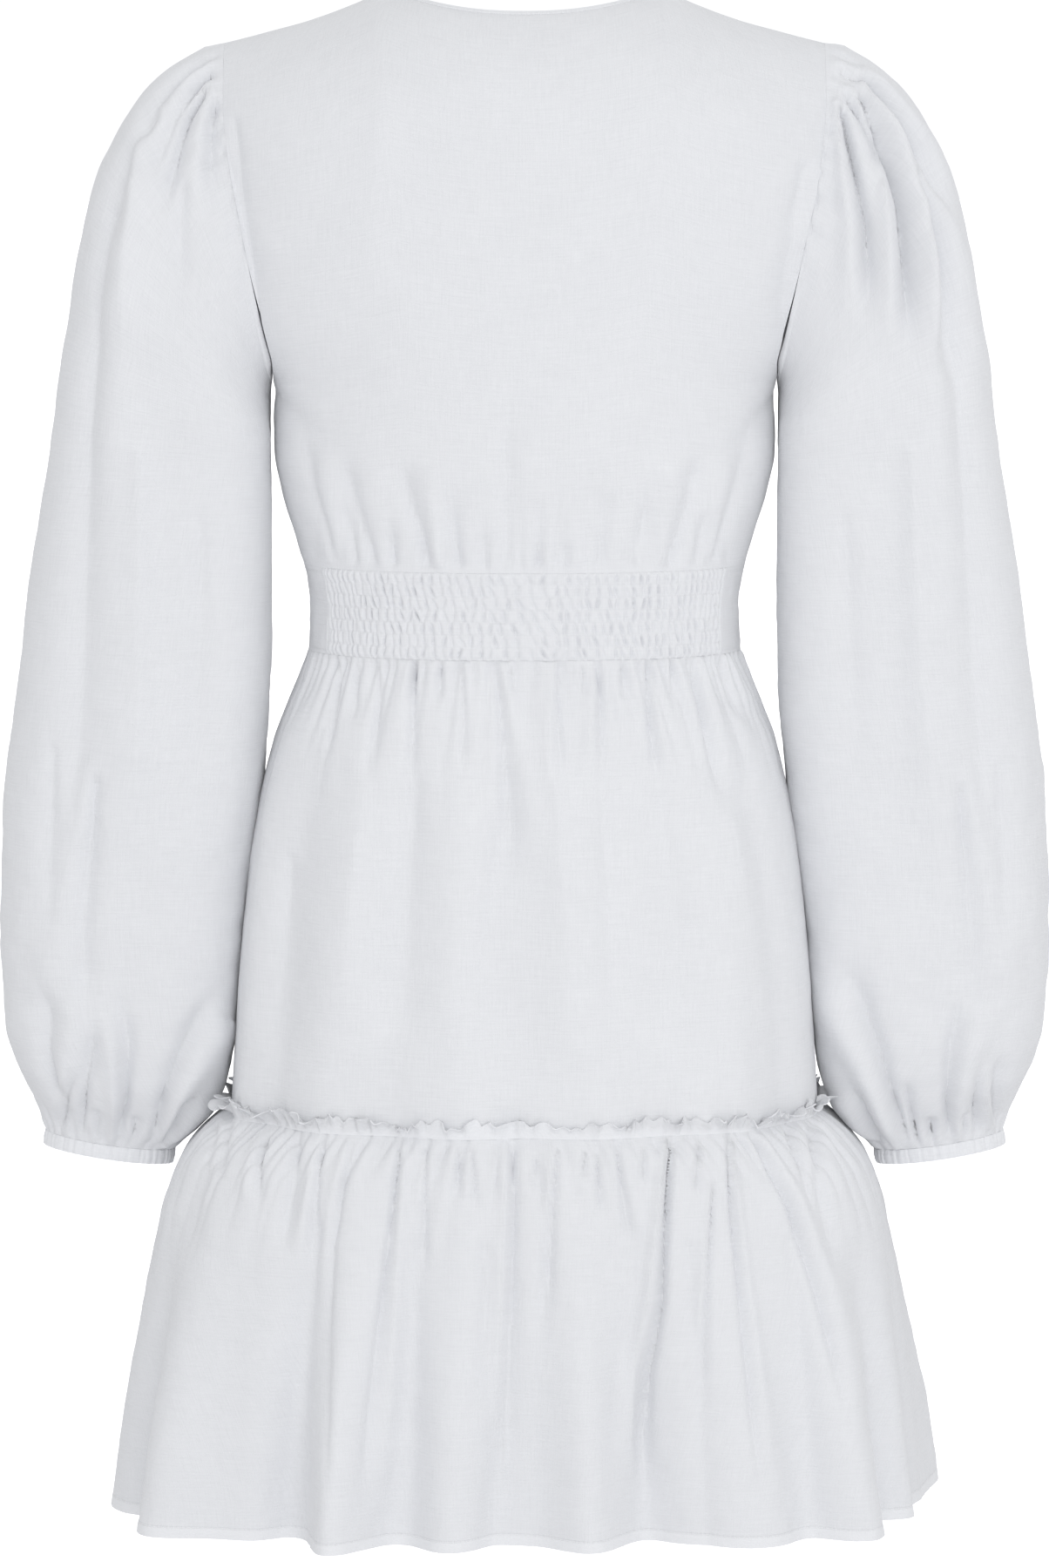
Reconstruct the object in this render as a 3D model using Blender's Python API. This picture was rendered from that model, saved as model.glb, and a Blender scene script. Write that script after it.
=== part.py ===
"""A short white linen dress, filled out with no wearer: plain bodice, shirred back waist, gathered skirt, flounce
with a frilled heading, and full sleeves gathered into elastic cuffs. Metres, +Z up, the front faces -Y.
The origin is where the shoulders hold it, midway between the two neck points."""

import math

import bmesh
import bpy
import numpy as np

# Cloth and seams
LINEN = 0.0015
FRILL_LINEN = 0.0012
BINDING_CLOTH = 0.0022
CUFF_CLOTH = 0.0020
SEAM_GAP = 0.0003
SMALL_STEP = 1e-4

# Heights of the seams that run round the dress
WAIST_TOP = -0.3245
WAIST_BOTTOM = -0.3735
FLOUNCE_SEAM = -0.6380
HEM = -0.8690
UNDERARM = -0.2220

# Neck, shoulders and armholes
NECK_HALF_WIDTH = 0.0780
NECK_POINT = 0.0
BACK_NECK_DROP = 0.0140
BACK_NECK_CURVE = 2.2
FRONT_NECK_DROP = 0.1750
SHOULDER_HALF_WIDTH = 0.1700
SHOULDER_ROUND = 0.0750
BINDING_WIDTH = 0.0040
BODICE_SQUARENESS = 2.3

# Pieces that are set on others
SKIRT_GATHERS = 30
SHIRRING_HALF_WIDTH = 0.1105
SHIRRING_RELIEF = 0.0016
SHIRRING_GATHERS = 36
SHIRRING_BANDS = 4
HEADING_HEIGHT = 0.0085
HEADING_WAVE = 0.0030
HEADING_WAVES_A_SIDE = 20
HEADING_TOP = 1 - HEADING_HEIGHT / (WAIST_BOTTOM - FLOUNCE_SEAM)
CUFF_HEIGHT = 0.0085
CUFF_GATHERS = 13

# Rows and columns of the solids
NECK_COLUMNS = 8
SHOULDER_COLUMNS = 7
BODICE_ROWS_BELOW_ARM = 3
SKIRT_COLUMNS = 60
SKIRT_FALLS = (0.0, 0.06, 0.20, 0.50)
FLOUNCE_COLUMNS = 60
ARMHOLE_TURNS = (0, 15, 30, 45, 60, 80, 100, 120, 140, 160, 180)

WHITE_LINEN = (0.86, 0.87, 0.89, 1.0)
BRIGHT_LINEN = (0.90, 0.90, 0.91, 1.0)

# Sections of the body of the dress. "squareness" 2 is an ellipse, and more is squarer.
BODY_COLUMNS = ("height", "half_width", "back", "front")
BODY = (
    (0.0200, 0.1900, 0.086, 0.074),
    (-0.0300, 0.1885, 0.090, 0.080),
    (-0.0650, 0.1880, 0.094, 0.090),
    (-0.1300, 0.1820, 0.098, 0.108),
    (-0.1650, 0.1710, 0.099, 0.117),
    (-0.1950, 0.1570, 0.099, 0.121),
    (-0.2120, 0.1475, 0.099, 0.121),
    (-0.2220, 0.1435, 0.099, 0.120),
    (-0.2600, 0.1428, 0.099, 0.115),
    (-0.2860, 0.1378, 0.097, 0.107),
    (-0.3060, 0.1315, 0.095, 0.101),
    (-0.3245, 0.1262, 0.093, 0.096),
    (-0.3470, 0.1225, 0.092, 0.094),
    (-0.3735, 0.1235, 0.094, 0.096),
    (-0.3870, 0.1280, 0.097, 0.099),
    (-0.4070, 0.1363, 0.102, 0.103),
    (-0.4270, 0.1440, 0.107, 0.107),
    (-0.4800, 0.1555, 0.115, 0.113),
    (-0.5600, 0.1640, 0.121, 0.119),
    (-0.6380, 0.1690, 0.126, 0.124),
)
FLOUNCE_BODY_COLUMNS = ("height", "half_width", "back", "front", "squareness")
FLOUNCE_BODY = (
    (-0.6380, 0.1695, 0.1265, 0.1245, 2.30),
    (-0.6450, 0.1780, 0.1305, 0.1285, 2.32),
    (-0.6550, 0.1885, 0.1335, 0.1315, 2.34),
    (-0.6680, 0.1980, 0.1355, 0.1335, 2.38),
    (-0.7090, 0.2110, 0.1375, 0.1355, 2.44),
    (-0.7490, 0.2180, 0.1385, 0.1365, 2.48),
    (-0.8090, 0.2275, 0.1395, 0.1375, 2.54),
    (-0.8690, 0.2345, 0.1400, 0.1380, 2.60),
)
SHOULDER_COLUMNS_NAMED = ("across", "height")
SHOULDER_LINE = (
    (0.000, 0.0070),
    (0.040, 0.0055),
    (0.078, 0.0000),
    (0.096, -0.0072),
    (0.111, -0.0130),
    (0.126, -0.0180),
    (0.141, -0.0220),
    (0.156, -0.0260),
    (0.170, -0.0295),
)
ARMHOLE_COLUMNS = ("height", "across")
ARMHOLE_EDGE = (
    (-0.2220, 0.1435),
    (-0.2120, 0.1430),
    (-0.1950, 0.1465),
    (-0.1650, 0.1530),
    (-0.1300, 0.1600),
    (-0.0950, 0.1665),
    (-0.0650, 0.1695),
    (-0.0295, 0.1700),
)

# Rings of the sleeve after the armhole. A ring runs from its inner end, by the body, to its outer end.
# "lift" is the degrees from upright that it leans out, "reach" its width, and "forward" where its middle is,
# front to back.
SLEEVE_COLUMNS = ("lift", "inner", "inner_height", "reach", "half_depth", "forward")
SLEEVE_RINGS = (
    (11.0, 0.1442, -0.2228, 0.1950, 0.0625, 0.000),
    (20.0, 0.1444, -0.2250, 0.1870, 0.0665, 0.000),
    (35.0, 0.1447, -0.2290, 0.1640, 0.0690, 0.000),
    (50.0, 0.1449, -0.2350, 0.1415, 0.0690, 0.000),
    (66.0, 0.1451, -0.2430, 0.1265, 0.0680, -0.002),
    (80.0, 0.1452, -0.2540, 0.1240, 0.0665, -0.004),
    (90.0, 0.1452, -0.2800, 0.1290, 0.065, -0.007),
    (90.0, 0.1453, -0.3600, 0.1415, 0.066, -0.014),
    (90.0, 0.1510, -0.4500, 0.1480, 0.068, -0.022),
    (90.0, 0.1605, -0.5250, 0.1425, 0.068, -0.028),
    (89.0, 0.1665, -0.5880, 0.1350, 0.065, -0.030),
    (86.0, 0.1730, -0.6240, 0.1220, 0.058, -0.030),
    (82.5, 0.1840, -0.6500, 0.1025, 0.045, -0.030),
    (81.4, 0.2030, -0.6680, 0.0760, 0.029, -0.030),
)

# Folds. "turn" is degrees round from the wearer's left side, 90 at the centre back, at the top and at the bottom of
# the piece; "push" is how far the ridge stands out, or sinks in if it is negative; "spread" is half its width.
FOLD_COLUMNS = ("top_turn", "bottom_turn", "push", "spread")
SKIRT_FOLDS = (
    (24, 20, 0.0030, 6.0),
    (40, 34, -0.0035, 6.0),
    (54, 50, 0.0030, 6.0),
    (68, 66, -0.0030, 5.0),
    (78, 80, 0.0035, 5.0),
    (88, 89, -0.0030, 4.0),
    (99, 101, 0.0030, 5.0),
    (112, 116, -0.0035, 6.0),
    (126, 133, 0.0030, 6.0),
    (142, 150, -0.0030, 6.0),
    (208, 204, 0.0028, 7.0),
    (226, 221, -0.0035, 6.0),
    (243, 240, 0.0032, 6.0),
    (258, 258, -0.0030, 5.0),
    (271, 272, 0.0032, 6.0),
    (286, 289, -0.0032, 6.0),
    (302, 307, 0.0030, 6.0),
    (320, 327, -0.0030, 6.0),
)
FLOUNCE_FOLDS = (
    (6, 4, 0.004, 7.0),
    (20, 20, -0.012, 6.0),
    (35, 35, 0.019, 9.0),
    (59, 61, -0.016, 4.5),
    (67, 69, 0.027, 5.0),
    (77, 77, -0.010, 4.0),
    (84, 84, 0.013, 4.5),
    (90, 90, -0.016, 3.6),
    (95, 95, 0.018, 4.5),
    (101, 102, -0.023, 5.0),
    (114, 118, 0.010, 7.0),
    (126, 128, -0.006, 4.0),
    (136, 138, 0.018, 7.0),
    (150, 153, -0.018, 6.0),
    (170, 172, -0.012, 8.0),
    (196, 198, 0.018, 9.0),
    (220, 219, -0.016, 6.0),
    (234, 232, 0.018, 7.0),
    (248, 247, -0.016, 5.0),
    (259, 259, 0.018, 6.0),
    (271, 272, -0.018, 5.5),
    (284, 285, 0.019, 6.5),
    (298, 299, -0.017, 6.0),
    (312, 313, 0.018, 8.0),
    (329, 330, -0.014, 6.0),
    (344, 345, 0.012, 7.0),
)


def table(columns, rows):
    """The rows as one array for each named column."""
    return dict(zip(columns, np.array(rows, float).T))


def through(keys, values, at):
    """A smooth curve through a table's rows, with no overshoot between them."""
    order = np.argsort(keys)
    x, y = keys[order], values[order]
    at = np.clip(at, x[0], x[-1])
    step = np.diff(x)
    slope = np.diff(y) / step
    tangent = np.zeros(len(x))
    tangent[0], tangent[-1] = slope[0], slope[-1]
    same_way = slope[1:] * slope[:-1] > 0
    before, after = slope[:-1][same_way], slope[1:][same_way]
    tangent[1:-1][same_way] = 2 * before * after / (before + after)
    i = np.clip(np.searchsorted(x, at, side="right") - 1, 0, len(step) - 1)
    t = (at - x[i]) / step[i]
    return (
        y[i] * (1 + 2 * t) * (1 - t) ** 2
        + tangent[i] * step[i] * t * (1 - t) ** 2
        + y[i + 1] * t * t * (3 - 2 * t)
        + tangent[i + 1] * step[i] * t * t * (t - 1)
    )


def eased(low, high, value):
    """0 up to low, 1 from high, and a soft step between."""
    t = np.clip((value - low) / (high - low), 0, 1)
    return t * t * (3 - 2 * t)


BODY_AT = table(BODY_COLUMNS, BODY)
FLOUNCE_AT = table(FLOUNCE_BODY_COLUMNS, FLOUNCE_BODY)
SHOULDER_AT = table(SHOULDER_COLUMNS_NAMED, SHOULDER_LINE)
ARMHOLE_AT = table(ARMHOLE_COLUMNS, ARMHOLE_EDGE)
SLEEVE_AT = table(SLEEVE_COLUMNS, SLEEVE_RINGS)
SHOULDER_POINT = SHOULDER_LINE[-1][1]


def body(column, height):
    return through(BODY_AT["height"], BODY_AT[column], height)


def shoulder_height(across):
    return through(SHOULDER_AT["across"], SHOULDER_AT["height"], np.abs(across))


def armhole_across(height):
    return through(ARMHOLE_AT["height"], ARMHOLE_AT["across"], height)


def body_depth(across, height, side):
    """How far the bodice stands behind (side 1) or before (side -1) the shoulder line."""
    reach = np.clip(np.abs(across) / body("half_width", height), 0, 1)
    section = (1 - reach**BODICE_SQUARENESS) ** (1 / BODICE_SQUARENESS)
    down = np.clip((shoulder_height(across) - height) / SHOULDER_ROUND, 0, 1)
    rounding = np.sqrt(1 - (1 - down) ** 2)
    depth = np.where(side > 0, body("back", height), body("front", height))
    return side * depth * section * rounding


def neck_edge(across, side):
    """Height of the neckline: a shallow curve at the back and a V at the front."""
    share = np.clip(np.abs(across) / NECK_HALF_WIDTH, 0, 1)
    back = NECK_POINT - BACK_NECK_DROP * (1 - share**BACK_NECK_CURVE)
    front = NECK_POINT - FRONT_NECK_DROP * (1 - share)
    return back if side > 0 else front


def bodice_point(spread, rise, side):
    """spread runs -1 to 1 across the panel, rise from 0 at the waist seam to 1 at the shoulder and neck."""
    across_share = np.sin(spread * math.pi / 2)
    edge_height = WAIST_TOP + rise * (SHOULDER_POINT - WAIST_TOP)
    half = np.where(
        edge_height < UNDERARM, body("half_width", edge_height), armhole_across(edge_height)
    )
    top_across = across_share * SHOULDER_HALF_WIDTH
    inside_neck = np.abs(top_across) < NECK_HALF_WIDTH
    top = np.where(inside_neck, neck_edge(top_across, side), shoulder_height(top_across))
    x = across_share * half
    z = WAIST_TOP + rise * (top - WAIST_TOP)
    y = body_depth(x, z, side) + side * SEAM_GAP / 2
    return np.stack([x, y, z + SEAM_GAP / 2 * (1 - rise)], axis=-1)


def ring_point(turn, half_width, back, front, squareness):
    """A point on a level section; turn is degrees from the wearer's left side, 90 at the centre back."""
    angle = np.radians(turn)
    power = 2 / squareness
    c, s = np.cos(angle), np.sin(angle)
    x = half_width * np.sign(c) * np.abs(c) ** power
    depth = np.where(s > 0, back, front)
    return x, depth * np.sign(s) * np.abs(s) ** power


def outward(turn, half_width, depth):
    """The level direction that points away from the body at that turn."""
    angle = np.radians(turn)
    nx, ny = np.cos(angle) / half_width, np.sin(angle) / depth
    length = np.hypot(nx, ny)
    return nx / length, ny / length


def folds(rows, turn, fall):
    """How far the folds of a table push the cloth out at that turn; fall is 0 at the top and 1 at the bottom."""
    total = np.zeros(np.broadcast(turn, fall).shape)
    for top_turn, bottom_turn, push, spread in rows:
        middle = top_turn + (bottom_turn - top_turn) * fall
        away = (turn - middle + 180) % 360 - 180
        total = total + push * np.exp(-((away / spread) ** 2))
    return total


def skirt_point(turn, fall):
    """The skirt between the waist and the flounce, gathered at the waist and falling in soft folds."""
    top, bottom = WAIST_BOTTOM - SEAM_GAP, FLOUNCE_SEAM + SEAM_GAP
    z = top + fall * (bottom - top)
    half, back, front = (body(c, z) for c in BODY_COLUMNS[1:])
    x, y = ring_point(turn, half, back, front, BODICE_SQUARENESS)
    nx, ny = outward(turn, half, np.where(y > 0, back, front))
    clear_of_sleeves = eased(0.0, 0.35, np.abs(np.sin(np.radians(turn))))
    gathers_fade = 1 - eased(0.03, 0.32, fall)
    gathers = 0.0016 * gathers_fade * np.cos(np.radians(turn) * SKIRT_GATHERS)
    push = clear_of_sleeves * (
        gathers + folds(SKIRT_FOLDS, turn, fall) * eased(0.0, 0.45, fall)
    )
    return np.stack([x + nx * push, y + ny * push, z + 0 * x], axis=-1)


def flounce_point(turn, fall):
    """The flounce, which springs out from its seam and hangs in deep waves at the hem."""
    top = FLOUNCE_SEAM
    z = top + fall * (HEM - top)
    half, back, front, square = (
        through(FLOUNCE_AT["height"], FLOUNCE_AT[c], z) for c in FLOUNCE_BODY_COLUMNS[1:]
    )
    x, y = ring_point(turn, half, back, front, square)
    nx, ny = outward(turn, half, np.where(y > 0, back, front))
    wave = np.cos(np.radians(turn) * HEADING_WAVES_A_SIDE * 2)
    gathers = 0.0018 * wave * eased(0.0, 0.08, fall) * (1 - eased(0.15, 0.5, fall))
    push = gathers + folds(FLOUNCE_FOLDS, turn, fall) * eased(0.02, 1.0, fall)
    return np.stack([x + nx * push, y + ny * push, z + 0 * x], axis=-1)


def waist_point(turn, fall):
    """The waist between its two seams."""
    top, bottom = WAIST_TOP - SEAM_GAP / 2, WAIST_BOTTOM
    z = top + fall * (bottom - top)
    half, back, front = (body(c, z) for c in BODY_COLUMNS[1:])
    x, y = ring_point(turn, half, back, front, BODICE_SQUARENESS)
    return np.stack([x, y, z + 0 * x], axis=-1)


def sleeve_value(column, along):
    """A value of the sleeve's table; along is 0 at its first ring and 1 at the cuff."""
    places = np.linspace(0, 1, len(SLEEVE_RINGS))
    return through(places, SLEEVE_AT[column], along)


def sleeve_ring(turn, along):
    """A point of the left sleeve below its cap seam; turn is 0 on top, 90 behind and 180 under the arm."""
    angle = np.radians(turn)
    lift = np.radians(sleeve_value("lift", along))
    reach = sleeve_value("reach", along)
    up = reach * (1 + np.cos(angle)) / 2
    x = sleeve_value("inner", along) + np.sin(lift) * up
    z = sleeve_value("inner_height", along) + np.cos(lift) * up
    y = sleeve_value("forward", along) + sleeve_value("half_depth", along) * np.sin(angle)
    return np.stack(np.broadcast_arrays(x, y, z), axis=-1)


def armhole_point(turn):
    """A point of the armhole's edge, at the same heights as the rows of the bodice's edge."""
    height_share = (1 + np.cos(np.radians(turn))) / 2
    z = UNDERARM + height_share * (SHOULDER_POINT - UNDERARM)
    x = armhole_across(z)
    side = np.where(turn <= 180, 1, -1)
    return np.stack([x, body_depth(x, z, side), z], axis=-1)


def armhole_loop():
    """The armhole's corner points, and one midway between each two, moved clear of the bodice."""
    turns = np.array(ARMHOLE_TURNS + tuple(360 - t for t in ARMHOLE_TURNS[-2:0:-1]), float)
    corners = armhole_point(turns)
    corners[..., 1] += np.sign(corners[..., 1]) * SEAM_GAP / 2
    middles = (corners + np.roll(corners, -1, axis=0)) / 2
    middle_turns = (turns + np.append(turns[1:], 360)) / 2
    loop = np.stack([corners, middles], axis=1).reshape(-1, 3)
    all_turns = np.stack([turns, middle_turns], axis=1).ravel()
    loop[:, 0] += SEAM_GAP
    return loop, all_turns


def grid_normals(point_at, across, down, inside):
    """Unit normals of a surface at each place of a grid, from small steps that stay within its edges."""
    low, high = inside

    def stepped(values, step, axis_low, axis_high):
        return np.clip(values + step, axis_low, axis_high)

    a = point_at(stepped(across, SMALL_STEP, low[0], high[0]), down)
    b = point_at(stepped(across, -SMALL_STEP, low[0], high[0]), down)
    c = point_at(across, stepped(down, SMALL_STEP, low[1], high[1]))
    d = point_at(across, stepped(down, -SMALL_STEP, low[1], high[1]))
    normal = np.cross(a - b, c - d)
    return normal / np.linalg.norm(normal, axis=-1, keepdims=True)


def mesh_normals(points, round_it):
    """Unit normals of a grid of points, from its neighbours."""
    if round_it:
        around = np.roll(points, -1, axis=1) - np.roll(points, 1, axis=1)
    else:
        around = np.gradient(points, axis=1)
    normal = np.cross(around, np.gradient(points, axis=0))
    return normal / np.linalg.norm(normal, axis=-1, keepdims=True)


def linen_material(name, colour):
    made = bpy.data.materials.new(name)
    made.use_nodes = True
    shader = made.node_tree.nodes["Principled BSDF"]
    shader.inputs["Base Color"].default_value = colour
    shader.inputs["Roughness"].default_value = 0.85
    shader.inputs["Metallic"].default_value = 0.0
    return made


def cloth(name, outer, inner, round_it, colour=WHITE_LINEN):
    """One closed wall between two grids of points, rows by columns, joined at its edges."""
    rows, columns = outer.shape[:2]
    inner_rows = inner.shape[0]
    work = bmesh.new()
    skins = [
        [[work.verts.new(p) for p in row] for row in grid] for grid in (outer, inner)
    ]
    spans = columns if round_it else columns - 1

    def quad(a, b, c, d):
        work.faces.new((a, b, c, d))

    for grid, count in zip(skins, (rows, inner_rows)):
        for r in range(count - 1):
            for c in range(spans):
                n = (c + 1) % columns
                quad(grid[r][c], grid[r][n], grid[r + 1][n], grid[r + 1][c])
    for c in range(spans):
        n = (c + 1) % columns
        out, ins = skins
        quad(out[0][n], out[0][c], ins[0][c], ins[0][n])
        quad(out[-1][c], out[-1][n], ins[-1][n], ins[-1][c])
    if not round_it and inner_rows < rows:
        for c in (0, -1):
            work.faces.new([row[c] for row in out] + [row[c] for row in ins[::-1]])
    elif not round_it:
        for r in range(rows - 1):
            quad(out[r][0], out[r + 1][0], ins[r + 1][0], ins[r][0])
            quad(out[r + 1][-1], out[r][-1], ins[r][-1], ins[r + 1][-1])
    bmesh.ops.recalc_face_normals(work, faces=work.faces[:])
    mesh = bpy.data.meshes.new(name)
    work.to_mesh(mesh)
    work.free()
    mesh.shade_smooth()
    mesh.set_sharp_from_angle(angle=math.radians(60))
    mesh.materials.append(linen_material(f"{name}_linen", colour))
    made = bpy.data.objects.new(name, mesh)
    bpy.context.scene.collection.objects.link(made)
    return made


def facing_out(normals, points):
    """The normals turned away from the dress's upright middle line."""
    away = points[..., 0] * normals[..., 0] + points[..., 1] * normals[..., 1]
    return normals if away.sum() > 0 else -normals


def panel(name, point_at, across, down, inside, relief=None):
    """A panel whose outer skin is a surface, raised by relief, over a plain inside."""
    a, d = np.meshgrid(across, down)
    points = point_at(a, d)
    normals = facing_out(grid_normals(point_at, a, d, inside), points)
    inner = points - LINEN * normals
    if relief is not None:
        points = points + relief(a, d)[..., None] * normals
        inner = inner[:: (len(down) - 1) // 2]
    return cloth(name, points, inner, False)


def bodice_columns():
    neck = math.asin(NECK_HALF_WIDTH / SHOULDER_HALF_WIDTH) * 2 / math.pi
    shoulder = np.linspace(neck, 1, SHOULDER_COLUMNS + 1)
    middle = np.linspace(-neck, neck, NECK_COLUMNS + 1)
    return np.concatenate([-shoulder[:0:-1], middle, shoulder[1:]])


def bodice_rows():
    """Rows up the panel: evenly to the underarm, then at the heights of the armhole's corners."""
    turns = np.radians(np.array(ARMHOLE_TURNS[::-1], float))
    heights = UNDERARM + (1 + np.cos(turns)) / 2 * (SHOULDER_POINT - UNDERARM)
    below = np.linspace(WAIST_TOP, UNDERARM, BODICE_ROWS_BELOW_ARM + 1)[:-1]
    return (np.concatenate([below, heights]) - WAIST_TOP) / (SHOULDER_POINT - WAIST_TOP)


def make_bodice():
    across, down = bodice_columns(), bodice_rows()
    inside = ((-1, 0), (1, 1))
    edges = {}
    for name, side in (("back_bodice", 1), ("front_bodice", -1)):

        def point_at(spread, rise, side=side):
            return bodice_point(spread, rise, side)

        panel(name, point_at, across, down, inside)
        neck = slice(SHOULDER_COLUMNS, SHOULDER_COLUMNS + NECK_COLUMNS + 1)
        a, d = np.meshgrid(across[neck], [1.0])
        points = point_at(a, d)
        normals = facing_out(grid_normals(point_at, a, d, inside), points)
        edges[side] = (points[0], normals[0])
    return edges


def make_neck_binding(edges):
    """The narrow binding that stands on the neckline's own points, all the way round."""
    back, back_normals = edges[1]
    front, front_normals = edges[-1]
    shoulder_left = (back[-1] + front[-1]) / 2
    shoulder_right = (back[0] + front[0]) / 2
    loop = np.concatenate(
        [[shoulder_right], back[1:-1], [shoulder_left], front[-2:0:-1]]
    )
    up_normal = np.array([0.0, 0.0, 1.0])
    normals = np.concatenate(
        [[up_normal], back_normals[1:-1], [up_normal], front_normals[-2:0:-1]]
    )
    tangent = np.roll(loop, -1, axis=0) - np.roll(loop, 1, axis=0)
    tangent /= np.linalg.norm(tangent, axis=-1, keepdims=True)
    into_neck = np.cross(tangent, normals)
    toward = np.array([0.0, 0.0, 0.05]) - loop
    into_neck *= np.sign((into_neck * toward).sum(-1, keepdims=True))
    into_neck /= np.linalg.norm(into_neck, axis=-1, keepdims=True)
    ahead = np.roll(loop, -1, axis=0) - loop
    behind = loop - np.roll(loop, 1, axis=0)
    turning = (ahead * behind).sum(-1) / (
        np.linalg.norm(ahead, axis=-1) * np.linalg.norm(behind, axis=-1)
    )
    mitre = 1 / np.sqrt(np.clip((1 + turning) / 2, 0.1, 1))[:, None]
    low = loop + into_neck * SEAM_GAP * 1.5 * mitre
    high = loop + into_neck * (BINDING_WIDTH + SEAM_GAP) * mitre
    proud = (BINDING_CLOTH - LINEN) / 2
    outer = np.stack([low, high]) + normals * proud
    return cloth("neck_binding", outer, outer - normals * BINDING_CLOTH, True, BRIGHT_LINEN)


def make_waist():
    width_at_middle = body("half_width", (WAIST_TOP + WAIST_BOTTOM) / 2)
    share = SHIRRING_HALF_WIDTH / width_at_middle
    seam = math.degrees(math.acos(share ** (BODICE_SQUARENESS / 2)))
    gap = math.degrees(SEAM_GAP / 2 / width_at_middle)
    inside = ((-400, 0), (400, 1))
    across = np.linspace(seam + gap, 180 - seam - gap, SHIRRING_GATHERS * 2 + 1)
    down = np.linspace(0, 1, SHIRRING_BANDS * 2 + 1)

    def gathers(turn, fall):
        """Small upright puffs between the rows of elastic, shifted by half a puff from band to band."""
        place = (turn - across[0]) / (across[-1] - across[0]) * SHIRRING_GATHERS
        puff = 0.5 - 0.5 * np.cos(place * 2 * math.pi)
        band = np.abs(np.sin(fall * SHIRRING_BANDS * math.pi))
        edge = eased(0.0, 0.02, place / SHIRRING_GATHERS) * eased(
            0.0, 0.02, 1 - place / SHIRRING_GATHERS
        )
        return SHIRRING_RELIEF * puff * (0.35 + 0.65 * band) * edge

    panel("back_waist_shirred", waist_point, across, down, inside, gathers)
    front = np.linspace(180 - seam + gap, 360 + seam - gap, 33)
    panel("front_waistband", waist_point, front, np.linspace(0, 1, 2), inside)


def half_turns(side, columns, radius):
    """Turns across the back (side 1) or front (side -1) half, just short of the side seams."""
    gap = math.degrees(SEAM_GAP / 2 / radius)
    start = 0 if side > 0 else 180
    return np.linspace(start + gap, start + 180 - gap, columns + 1)


def make_skirt():
    inside = ((-400, 0), (400, 1))
    for name, side in (("back_skirt", 1), ("front_skirt", -1)):
        across = half_turns(side, SKIRT_COLUMNS, 0.10)
        down = np.array(SKIRT_FALLS + (HEADING_TOP, 1.0))
        panel(name, skirt_point, across, down, inside)


def make_flounce():
    inside = ((-400, 0), (400, 1))
    down = np.array([0.0, 0.045, 0.12, 0.28, 0.50, 0.74, 1.0])
    for name, side in (("back_flounce", 1), ("front_flounce", -1)):
        across = half_turns(side, FLOUNCE_COLUMNS, 0.10)
        panel(name, flounce_point, across, down, inside)


def make_heading():
    """The frilled top edge of the flounce, on the skirt's own points moved out."""
    down = np.array([0.0, 1.0])
    for name, side in (("back_flounce_heading", 1), ("front_flounce_heading", -1)):
        across = half_turns(side, SKIRT_COLUMNS, 0.10)
        turn, share = np.meshgrid(across, down)
        fall = HEADING_TOP + share * (1 - HEADING_TOP)
        on_skirt = skirt_point(turn, fall)
        level = np.stack(
            [*outward(turn, 0.169, 0.126), np.zeros_like(turn)], axis=-1
        )
        wave = 0.5 + 0.5 * np.cos(np.radians(turn) * HEADING_WAVES_A_SIDE * 2)
        stand = SEAM_GAP * 1.7 + HEADING_WAVE * wave * (0.15 + 0.85 * (1 - share))
        inner = on_skirt + level * stand[..., None]
        cloth(name, inner + level * FRILL_LINEN, inner, False, BRIGHT_LINEN)


def sleeve_folds(turn, along):
    """Gathers that fan from the cap seam, and gathers drawn in above the cuff."""
    from_top = np.abs((turn + 180) % 360 - 180)
    cap = 1 - eased(70, 105, from_top)
    cap_waves = np.cos(np.radians(from_top) * 16)
    cap_fade = eased(0.0, 0.06, along) * (1 - eased(0.10, 0.42, along))
    cuff_waves = np.cos(np.radians(turn) * CUFF_GATHERS)
    cuff_fade = eased(0.72, 0.92, along) * (1 - 0.55 * eased(0.93, 1.0, along))
    return 0.0028 * cap * cap_waves * cap_fade + 0.0030 * cuff_waves * cuff_fade


def make_sleeve(name, mirror):
    loop, turns = armhole_loop()
    rings = np.linspace(0, 1, len(SLEEVE_RINGS))
    turn, along = np.meshgrid(turns, rings)
    points = sleeve_ring(turn, along)
    armhole_shape = loop[:, 1] / np.abs(loop[:, 1]).max() - np.sin(np.radians(turns))
    still_armhole = 1 - eased(0.0, 0.35, rings)[:, None]
    half_depth = sleeve_value("half_depth", rings)[:, None]
    points[..., 1] += half_depth * still_armhole * armhole_shape
    points = np.concatenate([loop[None], points])
    normals = mesh_normals(points, True)
    middle = points.mean(axis=1, keepdims=True)
    if ((points - middle) * normals).sum() < 0:
        normals = -normals
    push = np.concatenate([np.zeros((1, len(turns))), sleeve_folds(turn, along)])
    under_arm = eased(0.75, 1.0, -np.cos(np.radians(turns)))
    push[1:9] *= 1 - eased(0.15, 0.85, -np.cos(np.radians(turns)))
    normals[0] = seam_outward(loop, under_arm)
    normals[-1] = cuff_outward(turns)
    outer = points + normals * push[..., None]
    inner = outer - normals * LINEN
    for grid in (outer, inner):
        grid[..., 0] *= mirror
    return cloth(name, outer, inner, True)


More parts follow.
